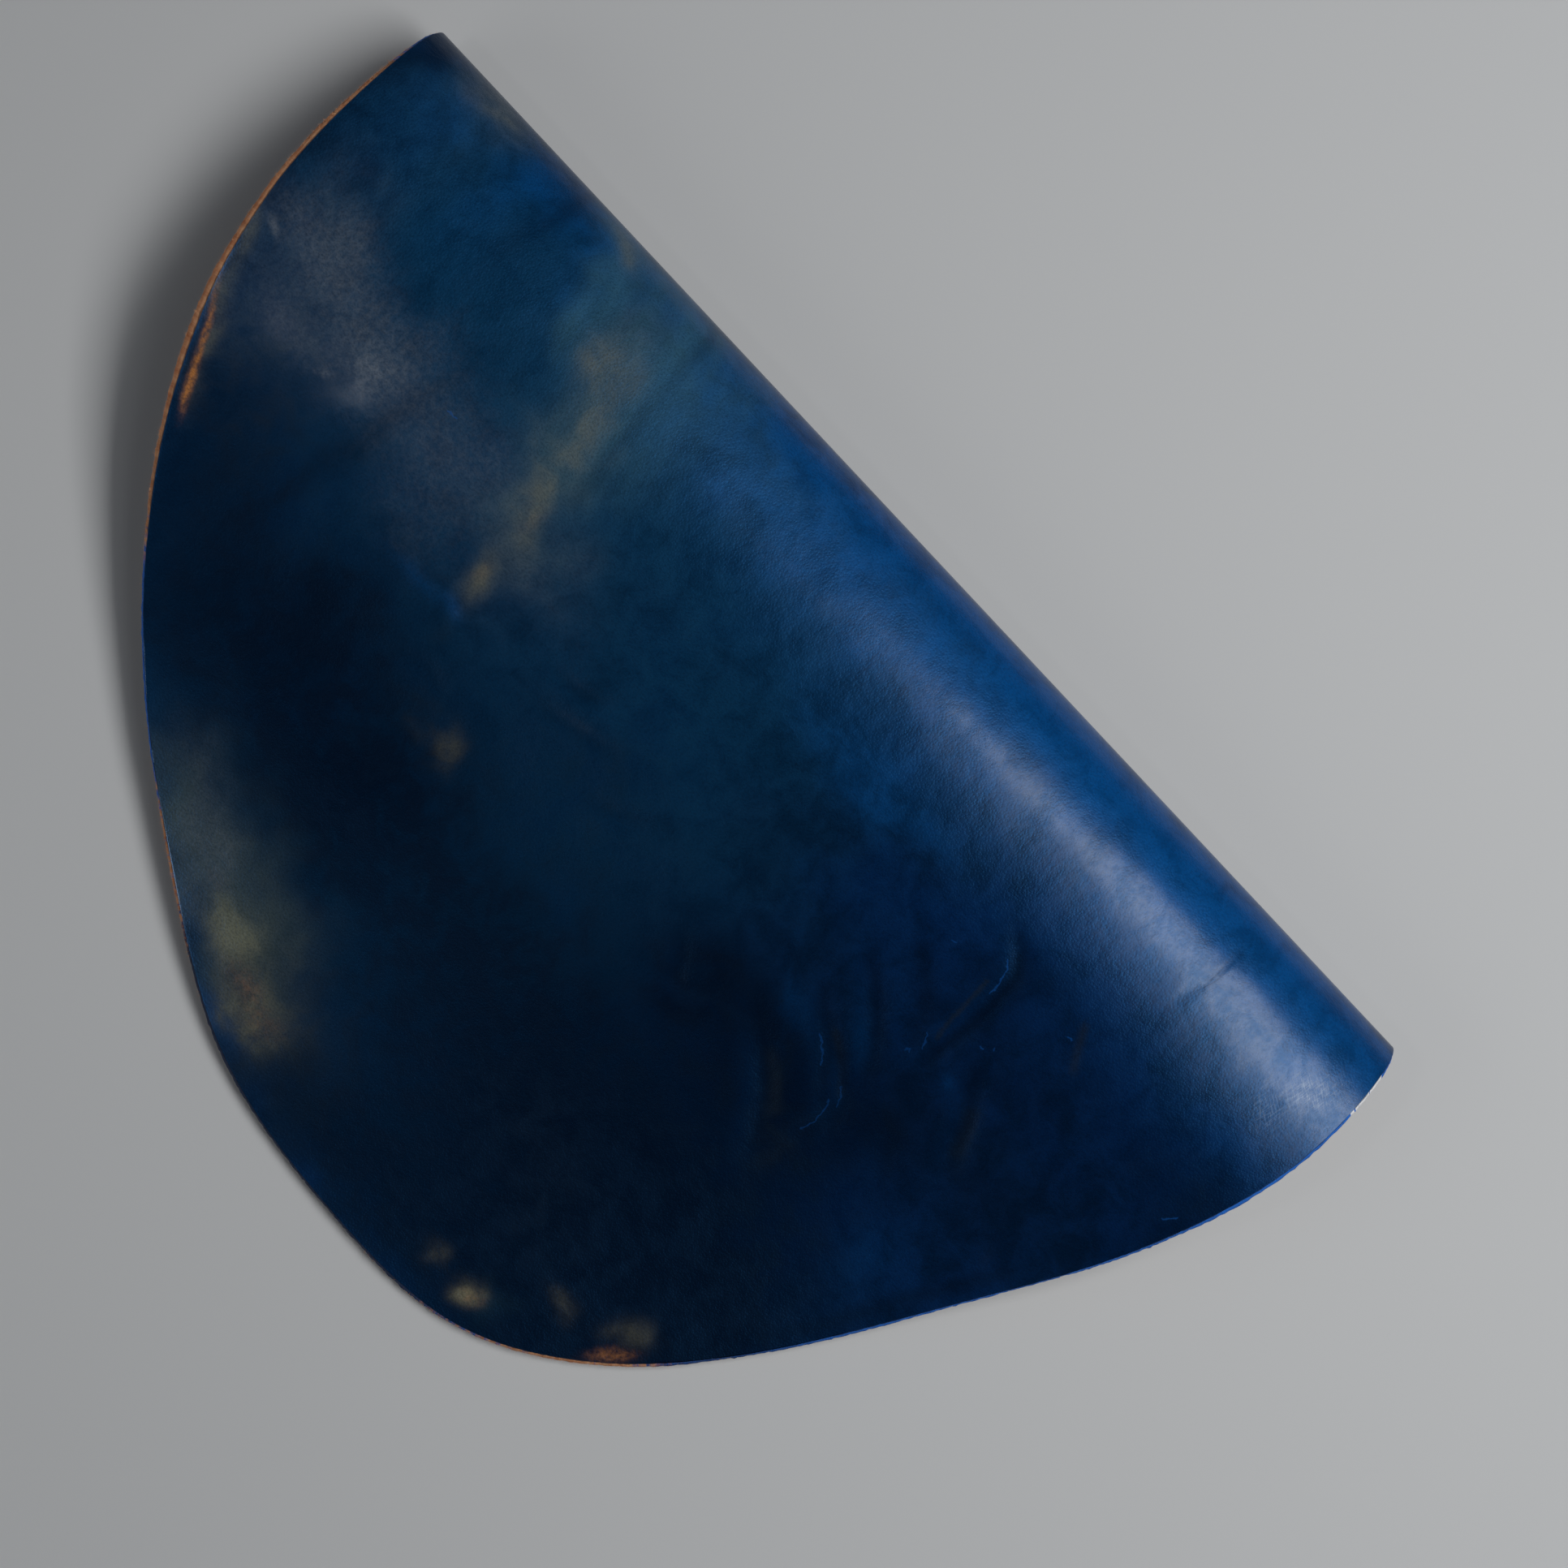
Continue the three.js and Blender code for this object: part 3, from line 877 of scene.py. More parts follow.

# %% [markdown]
# ## Umber and painted shade in the creases and along the rim
# The creases get an umber tint and painted shade along their troughs, one darker
# line crosses the left end of the fold, and a band of painted shade runs just
# inside the lower rim. Ovals can't follow a curve, so these are strokes,
# measured in the same way as the creases. The soft wide ones are kept on the
# mesh, which is fine enough for them. Hair-thin ones come later, in the shader.
# Each piece of a stroke costs the shader several nodes, and a render turns
# black when a shader grows too long, so only the thin ones are made there.

# %% Wide strokes of umber and painted shade
# columns: kind, places on the hide, half width, strength
WIDE_STROKES = [
    # dark rows along the creases: painted shade
    ("dark_lines_and_painted_shade", [(121, 83), (125, 88), (126.3, 97), (126.8, 107), (126.2, 122)], 3.2, 0.6),
    ("dark_lines_and_painted_shade", [(118, 159), (119, 166), (118, 173)], 2.2, 0.5),
    ("dark_lines_and_painted_shade", [(86, 165), (95, 174), (107, 189)], 3.2, 0.5),
    ("dark_lines_and_painted_shade", [(72, 152), (78, 160), (86, 167), (94, 174)], 4.5, 0.4),
    ("dark_lines_and_painted_shade", [(86, 136), (92, 144), (99, 150), (106, 155)], 4.5, 0.45),
    ("dark_lines_and_painted_shade", [(106, 146), (112, 151), (118, 155), (124, 160)], 4.0, 0.45),
    ("dark_lines_and_painted_shade", [(88, 118), (98, 125), (106, 132), (116, 142)], 4.5, 0.35),
    ("dark_lines_and_painted_shade", [(99, 105), (107, 110), (115, 117)], 4.5, 0.35),
    ("dark_lines_and_painted_shade", [(140, 118), (147, 129), (153, 140)], 5.0, 0.45),
    # a darker line across the left end of the fold
    ("dark_lines_and_painted_shade", [(-97, 8), (-94, 36), (-90, 60), (-85, 88)], 4.5, 0.26),
    # painted shade: a dark band just inside the lower rim
    ("dark_lines_and_painted_shade", [(105, 289), (118, 281), (138, 262), (152, 240), (167, 217), (179, 191), (196, 156)], 5.0, 0.5),
    ("umber", [(99, 143.5), (104.5, 146.5), (110, 150), (115, 155.5)], 2.6, 0.5),
    ("umber", [(152, 82), (156, 88.5), (160, 94)], 2.6, 0.5),
    ("umber", [(149, 129), (152, 133), (155, 141)], 3.8, 0.5),
    ("umber", [(90, 165), (97, 169), (104, 176)], 4.4, 0.45),
]

DEEPEST_TROUGH = 0.6
HIGHEST_SHOULDER = 0.4


def wide_stroke_mask(kind):
    """All wide strokes of one kind, the strongest at each point of the hide."""
    mask = np.zeros(all_along.shape)
    for _, stroke, half_width, strength in (row for row in WIDE_STROKES if row[0] == kind):
        away = stroke_distance(all_along, all_across, stroke)[0]
        mask = np.maximum(mask, strength * (1 - smooth_step(away, 0, half_width)))
    return mask


# the dark kind carries painted shade, the umber kind an umber tint
for kind in ("dark_lines_and_painted_shade", "umber"):
    add_values(hide_mesh, "crease_" + kind, wide_stroke_mask(kind))
all_trough, all_ridge = crease_relief(all_along, all_across)
# trough and ridge carry painted shade in the troughs and a painted highlight on the shoulders
add_values(hide_mesh, "trough", np.clip(all_trough / DEEPEST_TROUGH, 0, 1))
add_values(hide_mesh, "ridge", np.clip(all_ridge / HIGHEST_SHOULDER, 0, 1))
print(len(WIDE_STROKES), f"wide strokes, {100 * np.mean(all_trough > 0.1):.1f}% of the points in a trough")

# %% [markdown]
# ## The cut edge's own colours
# Round the raised left end the knife cut was left raw, a fuzzy tan, and so were
# short stretches of the far edge. The rest was inked blue, nearly black in
# places, and is worn to white at the right end of the fold. The attribute `raw`
# says where it is tan, `dark_ink` where the ink is thick and `chipped` where it
# is worn. `through` is the way from the grain side to the flesh side. The lower
# half's edge doesn't show, and is plain raw leather.

# %% Attributes of the cut edge
# columns: along, across, reach, how raw
RAW_SPOTS = [
    (-232, 58, 24, 0.8),
    (-229, 90, 32, 1.0),
    (-216, 138, 40, 1.0),
    (-190, 185, 28, 0.8),
    (-95, 270, 30, 0.7),
    (82, 302, 26, 0.3),
    (122, 281, 26, 0.9),
]
# columns: along, across, reach, how thick the ink is
DARK_INK_SPOTS = [
    (-64, 287, 26, 0.9),
    (-20, 297, 40, 1.0),
    (30, 298, 34, 1.0),
    (66, 298, 20, 0.8),
    (150, 250, 40, 0.7),
]
# columns: along, across, reach, how worn
CHIPPED_SPOTS = [
    (231, 34, 13, 1.0),
]
LOWER_RAW_FROM = -10

raw = np.clip(round_spots(RAW_SPOTS, all_along, all_across), 0, 1)
raw = np.where(all_across < LOWER_RAW_FROM, 1.0, raw)
add_values(hide_mesh, "raw", raw)
add_values(hide_mesh, "dark_ink", np.clip(round_spots(DARK_INK_SPOTS, all_along, all_across), 0, 1))
add_values(hide_mesh, "chipped", round_spots(CHIPPED_SPOTS, all_along, all_across))
add_values(hide_mesh, "through", through)
on_upper_rim = rim_place[:, 1] > 0
raw_share = np.mean(raw[rings[0]][on_upper_rim] > 0.5)
print(f"{100 * raw_share:.0f}% of the upper cut edge is raw")

# %% [markdown]
# ## Tools for node trees
# Every finish below is a small tree of nodes. A few short helpers make the
# trees readable: one adds a node with its settings and inputs, one starts a
# shader group with named sockets, and one turns a value range into a mask.

# %% Helpers that add nodes
def add_node(tree, kind, values=None, **settings):
    """A new node. values are its inputs: a socket is linked, anything else is set."""
    node = tree.nodes.new(kind)
    for name, value in settings.items():
        setattr(node, name, value)
    for socket, value in (values or {}).items():
        if isinstance(value, bpy.types.NodeSocket):
            tree.links.new(value, node.inputs[socket])
        else:
            node.inputs[socket].default_value = value
    return node


def ramp(tree, value, start, end, low=0.0, high=1.0):
    """value from start to end becomes low to high, smoothly, and is clipped."""
    values = {"Value": value, "From Min": start, "From Max": end, "To Min": low, "To Max": high}
    return add_node(tree, "ShaderNodeMapRange", values, interpolation_type="SMOOTHSTEP").outputs["Result"]


def math_node(tree, operation, first, second=0.0):
    return add_node(tree, "ShaderNodeMath", {0: first, 1: second}, operation=operation).outputs[0]


def multiply(tree, first, second):
    return math_node(tree, "MULTIPLY", first, second)


def add(tree, first, second):
    return math_node(tree, "ADD", first, second)


def scale_vector(tree, vector, scale):
    values = {0: vector, "Scale": scale}
    return add_node(tree, "ShaderNodeVectorMath", values, operation="SCALE").outputs["Vector"]


def noise(tree, vector, scale, detail=3.0, roughness=0.55, distortion=0.0):
    """A flat noise, 0 to 1. scale is in waves a millimetre."""
    values = {"Vector": vector, "Scale": scale, "Detail": detail}
    values.update({"Roughness": roughness, "Distortion": distortion})
    return add_node(tree, "ShaderNodeTexNoise", values, noise_dimensions="2D").outputs["Fac"]


trial = bpy.data.node_groups.new("trial", "ShaderNodeTree")
multiply(trial, 2.0, 3.0)
print("one product in a trial tree:", [node.name for node in trial.nodes])
bpy.data.node_groups.remove(trial)


# %% Helpers for colours
def mix_colour(tree, factor, first, second, blend="MIX"):
    """first where factor is 0 and second where it is 1."""
    node = tree.nodes.new("ShaderNodeMix")
    node.data_type = "RGBA"
    node.blend_type = blend
    for name, value in (("Factor_Float", factor), ("A_Color", first), ("B_Color", second)):
        socket = next(s for s in node.inputs if s.identifier == name)
        if isinstance(value, bpy.types.NodeSocket):
            tree.links.new(value, socket)
        else:
            socket.default_value = value
    return next(s for s in node.outputs if s.identifier == "Result_Color")


def linear(red, green, blue):
    """A screen colour, 0 to 255, as the linear colour that shaders take."""
    def channel(value):
        value /= 255
        return value / 12.92 if value <= 0.04045 else ((value + 0.055) / 1.055) ** 2.4
    return channel(red), channel(green), channel(blue), 1.0


print("half grey as shaders take it:", [round(value, 3) for value in linear(128, 128, 128)])


# %% Helpers for shader groups
def shader_group(name, inputs, outputs):
    """A new group. inputs and outputs are (name, kind, value) and (name, kind)."""
    tree = bpy.data.node_groups.new(name, "ShaderNodeTree")
    for label, kind, value in inputs:
        socket = tree.interface.new_socket(label, in_out="INPUT", socket_type="NodeSocket" + kind)
        if value is not None:
            socket.default_value = value
    for label, kind in outputs:
        tree.interface.new_socket(label, in_out="OUTPUT", socket_type="NodeSocket" + kind)
    entry = tree.nodes.new("NodeGroupInput")
    leave = tree.nodes.new("NodeGroupOutput")
    return tree, entry.outputs, leave.inputs


def place_group(tree, group, values):
    """Puts a shader group in a tree and gives back its outputs."""
    return add_node(tree, "ShaderNodeGroup", values, node_tree=group).outputs


def describe(group):
    """Prints what a group takes and gives."""
    sides = {"INPUT": [], "OUTPUT": []}
    for item in group.interface.items_tree:
        sides[item.in_out].append(item.name)
    print(group.name, "takes", sides["INPUT"], "and gives", sides["OUTPUT"])


# %% [markdown]
# ## Grain, scuffs, fibres and strokes as groups
# Cordovan isn't skin but a dense sheet from under it, polished until it is
# glassy, so its grain is very fine: shallow pits and flecks. The suede side and
# the cut edge use one fibre group at different sizes. A thin scratch or crease
# line is a row of straight pieces, each of them one stroke group. Groups give
# out only masks, shades and heights, and each material keeps its own shader.

# %% Group: fine grain
def make_grain_group():
    sockets = [("Vector", "Vector", None), ("Size", "Float", 1.0), ("Fleck", "Float", 0.5)]
    outputs = [("Height", "Float"), ("Fleck mask", "Float"), ("Shade", "Float")]
    tree, given, out = shader_group("fine_grain", sockets, outputs)
    vector = scale_vector(tree, given["Vector"], given["Size"])
    cells = {"Vector": vector, "Scale": 1.05}
    cells = add_node(tree, "ShaderNodeTexVoronoi", cells, voronoi_dimensions="2D").outputs["Distance"]
    pits = ramp(tree, cells, 0.0, 0.55)
    stretched = add_node(tree, "ShaderNodeMapping", {"Vector": vector, "Scale": (0.8, 1.2, 1)})
    flecks = noise(tree, stretched.outputs["Vector"], 1.3, 3.0, 0.65)
    pebbles = noise(tree, vector, 0.22, 2.0)
    height = add(tree, multiply(tree, pits, 0.5), multiply(tree, pebbles, 2.4))
    height = math_node(tree, "SUBTRACT", height, multiply(tree, flecks, given["Fleck"]))
    tree.links.new(height, out["Height"])
    tree.links.new(ramp(tree, flecks, 0.3, 0.7, 1.0, 0.0), out["Fleck mask"])
    tree.links.new(ramp(tree, flecks, 0.3, 0.7, 0.68, 1.0), out["Shade"])
    return tree


fine_grain = make_grain_group()
describe(fine_grain)

# %% Group: scuffs
# columns: turn in radians, where its noise starts
SCUFF_LINES = [
    (0.5, 0.0),
    (1.75, 90.0),
]


def make_scuff_group():
    """Two crossing sets of short fine lines."""
    sockets = [("Vector", "Vector", None), ("Amount", "Float", 0.5)]
    tree, given, out = shader_group("scuffs", sockets, [("Mask", "Float")])
    total = 0.0
    for turn, start in SCUFF_LINES:
        values = {"Vector": given["Vector"], "Location": (start, start, 0)}
        values.update({"Rotation": (0, 0, turn), "Scale": (5.0, 0.6, 1)})
        lines = add_node(tree, "ShaderNodeMapping", values, vector_type="TEXTURE").outputs["Vector"]
        total = add(tree, total, ramp(tree, noise(tree, lines, 1.2, 2.0), 0.52, 0.64))
    tree.links.new(multiply(tree, total, given["Amount"]), out["Mask"])
    return tree


scuffs = make_scuff_group()
describe(scuffs)

# %% Group: fibres of suede and of the cut edge
FIBRE_DIRECTION = 0.9


def make_fibre_group():
    sockets = [("Vector", "Vector", None), ("Size", "Float", 1.0)]
    tree, given, out = shader_group("leather_fibre", sockets, [("Height", "Float"), ("Shade", "Float")])
    vector = scale_vector(tree, given["Vector"], given["Size"])
    strands = {"Vector": vector, "Rotation": (0, 0, FIBRE_DIRECTION), "Scale": (0.5, 2.2, 1)}
    strands = add_node(tree, "ShaderNodeMapping", strands).outputs["Vector"]
    height = noise(tree, strands, 1.0, 4.0, 0.7, 0.6)
    shade = noise(tree, vector, 0.12, 3.0, 0.6)
    tree.links.new(height, out["Height"])
    tree.links.new(add(tree, multiply(tree, height, 0.5), shade), out["Shade"])
    return tree


leather_fibre = make_fibre_group()
describe(leather_fibre)


# %% Group: one straight piece of a stroke
def make_stroke_group():
    """1 on the line from Start along Way, falling softly to 0 at Width from it."""
    sockets = [("Vector", "Vector", None), ("Start", "Vector", None), ("Way", "Vector", None)]
    sockets.append(("Width", "Float", 1.0))
    tree, given, out = shader_group("soft_stroke", sockets, [("Mask", "Float")])

    def vector_math(operation, first, second, output="Vector"):
        node = add_node(tree, "ShaderNodeVectorMath", {0: first, 1: second}, operation=operation)
        return node.outputs[output]

    from_start = vector_math("SUBTRACT", given["Vector"], given["Start"])
    done = vector_math("DOT_PRODUCT", from_start, given["Way"], "Value")
    whole = vector_math("DOT_PRODUCT", given["Way"], given["Way"], "Value")
    share = add_node(tree, "ShaderNodeMath", {0: done, 1: whole}, operation="DIVIDE", use_clamp=True)
    nearest = scale_vector(tree, given["Way"], share.outputs[0])
    away = vector_math("DISTANCE", from_start, nearest, "Value")
    wide = math_node(tree, "DIVIDE", away, given["Width"])
    tree.links.new(ramp(tree, wide, 0.0, 1.0, 1.0, 0.0), out["Mask"])
    return tree


soft_stroke = make_stroke_group()
describe(soft_stroke)


# %% Helpers for materials
def material_tree(name):
    """A new material with one Principled shader."""
    material = bpy.data.materials.new(name)
    material.use_nodes = True
    tree = material.node_tree
    tree.nodes.clear()
    output = tree.nodes.new("ShaderNodeOutputMaterial")
    shader = tree.nodes.new("ShaderNodeBsdfPrincipled")
    tree.links.new(shader.outputs["BSDF"], output.inputs["Surface"])
    return material, tree, shader


def hide_vector(tree):
    """The place on the flat hide, in millimetres."""
    uv = add_node(tree, "ShaderNodeUVMap", uv_map="hide").outputs["UV"]
    return scale_vector(tree, uv, 1 / MM)


def attribute(tree, name):
    return add_node(tree, "ShaderNodeAttribute", attribute_name=name).outputs["Fac"]


def broken(tree, mask, breaker, low, high, roughness=0.5):
    """A mask whose border is broken up by a noise, and that stays 0 where it was 0."""
    rough = ramp(tree, breaker, 0.2, 0.8, 1.0 - roughness, 1.0 + roughness)
    return ramp(tree, multiply(tree, mask, rough), low, high)


def bump_normal(tree, shader, height, strength, distance):
    """Lets a height, in units of distance, tilt the shading."""
    values = {"Strength": strength, "Distance": distance, "Height": height}
    tree.links.new(add_node(tree, "ShaderNodeBump", values).outputs["Normal"], shader.inputs["Normal"])


print("the materials can read:", [a.name for a in hide_mesh.attributes if a.data_type == "FLOAT"])

# %% [markdown]
# ## Marbled blue dye and painted sheen
# A dyer rubs on thin coats, each of which takes unevenly. The colour is built
# up in the same way: a slow mottle of two blues, then pools of teal, brighter
# blue and near black, thin pale veils of painted sheen, olive clouds where little
# blue took, bare tan and umber. A haze of wax bloom lies on top, with a painted
# reflection of the light in it. The masks of the mesh say where, and
# noise breaks their borders. The colours are given as they look on a screen.

# %% Colours of the dye
DYE_NAVY = linear(0, 16, 38)
DYE_BLUE = linear(0, 28, 67)
DYE_BRIGHT = linear(0, 67, 124)
DYE_DEEP = linear(0, 5, 18)
DYE_TEAL = linear(6, 46, 72)
# grey-blue of the painted sheen veils
PAINTED_SHEEN_VEIL_GREY = linear(66, 108, 120)
DYE_SMOKE = linear(84, 92, 66)
DYE_UMBER = linear(24, 26, 24)
DYE_OLIVE = linear(108, 104, 78)
BARE_TAN = linear(168, 108, 50)
# pale grey of the wax bloom and of its painted reflection
BLOOM_AND_SHEEN_GREY = linear(124, 128, 130)
# pale blue of the scratches and of the painted glints
SCRATCH_AND_GLINT_BLUE = linear(20, 78, 150)
WORN_GREY = linear(128, 146, 170)

# columns: mask, noise that breaks its border, how rough the border is, full at, share, colour
DYE_LAYERS = [
    ("teal", "cloud", 0.3, 1.1, 1.0, DYE_TEAL),
    ("bright", "cloud", 0.3, 1.0, 1.0, DYE_BRIGHT),
    ("deep", "cloud", 0.3, 1.0, 1.0, DYE_DEEP),
    # painted sheen: the veil row lays a pale haze of reflected light into the colour
    ("painted_sheen_veil", "streak", 0.15, 1.0, 0.55, PAINTED_SHEEN_VEIL_GREY),
    ("olive", "cloud", 0.4, 1.0, 0.85, DYE_OLIVE),
    ("smoke", None, 0.0, 1.0, 1.0, DYE_SMOKE),
    ("bare", "speckle", 0.5, 1.0, 1.0, BARE_TAN),
    ("umber", "cloud", 0.5, 1.0, 1.0, DYE_UMBER),
]
# wax bloom with a painted reflection haze, laid last over the dye
BLOOM_AND_SHEEN_LAYER = ("wax_bloom_and_painted_sheen", "speckle", 0.3, 1.0, 0.6, BLOOM_AND_SHEEN_GREY)


def grain_noises(tree, vector):
    """The noises that mottle the dye and break the borders of its marks."""
    streaks = {"Vector": vector, "Rotation": (0, 0, 1.2), "Scale": (5.0, 1.0, 1.0)}
    streaks = add_node(tree, "ShaderNodeMapping", streaks, vector_type="TEXTURE").outputs["Vector"]
    return {
        "slow": noise(tree, vector, 0.018, 3.0, 0.55, 0.4),
        "cloud": noise(tree, vector, 0.09, 5.0, 0.62, 0.3),
        "speckle": noise(tree, vector, 0.45, 4.0, 0.65),
        "streak": noise(tree, streaks, 0.12, 4.0, 0.6),
    }


def mottled_blue(tree, noises):
    mottle = add(tree, multiply(tree, noises["slow"], 0.5), multiply(tree, noises["cloud"], 0.5))
    return mix_colour(tree, ramp(tree, mottle, 0.32, 0.7), DYE_NAVY, DYE_BLUE)


def lay_dye(tree, colour, noises, layer):
    """One row of the table over the colour."""
    name, breaker, roughness, full_at, share, dye = layer
    mask = attribute(tree, name)
    if breaker:
        mask = broken(tree, mask, noises[breaker], 0.0, full_at, roughness)
    if share < 1:
        mask = multiply(tree, mask, share)
    return mix_colour(tree, mask, colour, dye)


print(len(DYE_LAYERS), "layers of dye and one of wax")

# %% [markdown]
# ## Scratches, glints and thin crease lines
# The dark line of painted shade in a pinch and the pale scratches, which also
# paint the glint of light along a crease's edge, are thinner than a cell of the
# mesh, so they are drawn in the shader. A little noise shakes them, because a
# scratch is never a straight line.

# %% Thin strokes
# columns: kind, places on the hide, half width, strength
THIN_STROKES = [
    # scratch rows: pale scratches; those along the creases are also painted glints of light
    ("scratch_and_glint", [(119, 85.5), (121.2, 88), (122.5, 92), (123.5, 97)], 0.45, 0.36),
    ("scratch_and_glint", [(119, 121), (120.8, 123), (122.2, 126)], 0.4, 0.3),
    ("scratch_and_glint", [(118.6, 130), (119.4, 128.6), (120.2, 129.8)], 0.4, 0.25),
    ("scratch_and_glint", [(96, 147.3), (99.3, 149.6), (102, 152), (103.6, 154.4)], 0.45, 0.24),
    ("scratch_and_glint", [(113.8, 154), (116, 157), (117.6, 159.8)], 0.45, 0.2),
    ("scratch_and_glint", [(114, 160), (115.6, 163.5), (116.4, 169), (115, 174)], 0.45, 0.24),
    ("scratch_and_glint", [(150.6, 88.3), (152.6, 88)], 0.5, 0.4),
    ("scratch_and_glint", [(134.3, 111.3), (135.6, 110.8)], 0.5, 0.4),
    ("scratch_and_glint", [(137.6, 108.2), (138.4, 109)], 0.4, 0.3),
    ("scratch_and_glint", [(102, 94.5), (103.4, 93.4)], 0.4, 0.3),
    ("scratch_and_glint", [(216, 106), (219, 102)], 0.45, 0.4),
    ("scratch_and_glint", [(-135, 99.4), (-131, 98.6)], 0.45, 0.4),
    # dark rows: painted shade along the creases; the umber row is an umber tint
    ("dark_lines_and_painted_shade", [(112.5, 162), (113.4, 172)], 1.2, 0.4),
    ("dark_lines_and_painted_shade", [(99, 146.5), (104.5, 151), (108, 157)], 1.6, 0.5),
    ("dark_lines_and_painted_shade", [(112, 151), (118, 156), (122, 163)], 1.5, 0.5),
    ("umber", [(119.6, 95), (120.6, 105), (121.2, 113), (122.6, 119.5)], 1.5, 0.55),
]
# how far the noise moves a stroke, in millimetres, from end to end
SHAKE = 1.6
# share of painted shade in the trough and of painted highlight on its shoulder
TROUGH_PAINTED_SHADE = 0.5
RIDGE_PAINTED_HIGHLIGHT = 0.12


def shaken_places(tree, vector):
    """The place on the hide, shifted by up to half of SHAKE either way."""
    shift = {"Vector": vector, "Scale": 0.5, "Detail": 2.0}
    shift = add_node(tree, "ShaderNodeTexNoise", shift, noise_dimensions="2D").outputs["Color"]
    shifted = {0: shift, 1: (SHAKE, SHAKE, 0.0), 2: vector}
    shifted = add_node(tree, "ShaderNodeVectorMath", shifted, operation="MULTIPLY_ADD").outputs["Vector"]
    centred = {0: shifted, 1: (-SHAKE / 2, -SHAKE / 2, 0.0)}
    return add_node(tree, "ShaderNodeVectorMath", centred, operation="ADD").outputs["Vector"]


def stroke_mask(tree, vector, kind):
    """All thin strokes of one kind, the strongest at each place."""
    total = None
    for _, stroke, half_width, strength in (row for row in THIN_STROKES if row[0] == kind):
        for start, end in zip(stroke[:-1], stroke[1:]):
            way = (end[0] - start[0], end[1] - start[1], 0)
            line = {"Vector": vector, "Start": (*start, 0), "Way": way, "Width": half_width}
            mask = multiply(tree, place_group(tree, soft_stroke, line)["Mask"], strength)
            total = mask if total is None else math_node(tree, "MAXIMUM", total, mask)
    return total


def crease_umber_and_painted_shade(tree, colour, shaken):
    """Umber tint and painted shade in the creases, thin lines and wide ones, painted shade along the rim,
    and a painted highlight on the shoulders.
    """
    for kind, dye in (("umber", DYE_UMBER), ("dark_lines_and_painted_shade", DYE_DEEP)):
        thin, wide = stroke_mask(tree, shaken, kind), attribute(tree, "crease_" + kind)
        colour = mix_colour(tree, math_node(tree, "MAXIMUM", thin, wide), colour, dye)
    # painted shade in the troughs and a painted highlight on their shoulders
    colour = mix_colour(tree, multiply(tree, attribute(tree, "trough"), TROUGH_PAINTED_SHADE), colour, DYE_DEEP)
    return mix_colour(tree, multiply(tree, attribute(tree, "ridge"), RIDGE_PAINTED_HIGHLIGHT), colour, DYE_BRIGHT)


print(sum(len(stroke) - 1 for _, stroke, _, _ in THIN_STROKES), "straight pieces of thin strokes")

# %% [markdown]
# ## The glazed grain
# Glazing presses wax into the dyed grain with a glass roller. Its gloss has two
# parts: the leather's own soft shine, tinted by the dye, and a thin clear coat
# that is uneven where the wax wore off. One shiny layer alone would look like
# plastic. The worn corner at the right end is greyer and rougher.

# %% Material: glazed blue grain
DYE_TINT = (0.08, 0.4, 1.0, 1.0)
GRAIN_IOR = 1.5
GRAIN_ROUGHNESS = 0.38
# how much smoother or rougher the grain gets in places
SMOOTHER, ROUGHER = 0.03, 0.04
GRAIN_BUMP = 0.55
GRAIN_HEIGHT = 0.0001
GLAZE_WEIGHT = 0.3
# shares of the glaze where it is worn and where it is thick
GLAZE_WORN, GLAZE_THICK = 0.65, 1.25
GLAZE_ROUGHNESS = 0.2
SCUFF_COLOUR = 0.5
SCUFF_ROUGHNESS = 0.12


def make_grain_material():
    material, tree, shader = material_tree("glazed_blue_grain")
    vector = hide_vector(tree)
    noises = grain_noises(tree, vector)
    colour = mottled_blue(tree, noises)
    for layer in DYE_LAYERS:
        colour = lay_dye(tree, colour, noises, layer)
    shaken = shaken_places(tree, vector)
    # umber tint, painted shade and a painted highlight in the creases
    colour = crease_umber_and_painted_shade(tree, colour, shaken)
    # wax bloom and painted reflection haze over the dye and the creases
    colour = lay_dye(tree, colour, noises, BLOOM_AND_SHEEN_LAYER)
    grain = place_group(tree, fine_grain, {"Vector": vector, "Size": 1.0, "Fleck": 0.5})
    colour = mix_colour(tree, grain["Fleck mask"], colour, grain["Shade"], "MULTIPLY")
    scuff = place_group(tree, scuffs, {"Vector": vector, "Amount": attribute(tree, "worn")})["Mask"]
    colour = mix_colour(tree, multiply(tree, scuff, SCUFF_COLOUR), colour, WORN_GREY)
    # pale scratches, with painted glints of light along the creases
    colour = mix_colour(tree, stroke_mask(tree, shaken, "scratch_and_glint"), colour, SCRATCH_AND_GLINT_BLUE)
    tree.links.new(colour, shader.inputs["Base Color"])

    wax = add(tree, multiply(tree, noises["cloud"], 0.6), multiply(tree, noises["speckle"], 0.4))
    glaze = multiply(tree, ramp(tree, wax, 0.36, 0.64, GLAZE_WORN, GLAZE_THICK), GLAZE_WEIGHT)
    tree.links.new(glaze, shader.inputs["Coat Weight"])
    smooth, coarse = GRAIN_ROUGHNESS - SMOOTHER, GRAIN_ROUGHNESS + ROUGHER
    rough = ramp(tree, noises["cloud"], 0.3, 0.7, smooth, coarse)
    tree.links.new(add(tree, rough, multiply(tree, scuff, SCUFF_ROUGHNESS)), shader.inputs["Roughness"])
    bump_normal(tree, shader, grain["Height"], GRAIN_BUMP, GRAIN_HEIGHT)
    shader.inputs["IOR"].default_value = GRAIN_IOR
    shader.inputs["Specular Tint"].default_value = DYE_TINT
    shader.inputs["Coat Roughness"].default_value = GLAZE_ROUGHNESS
    return material


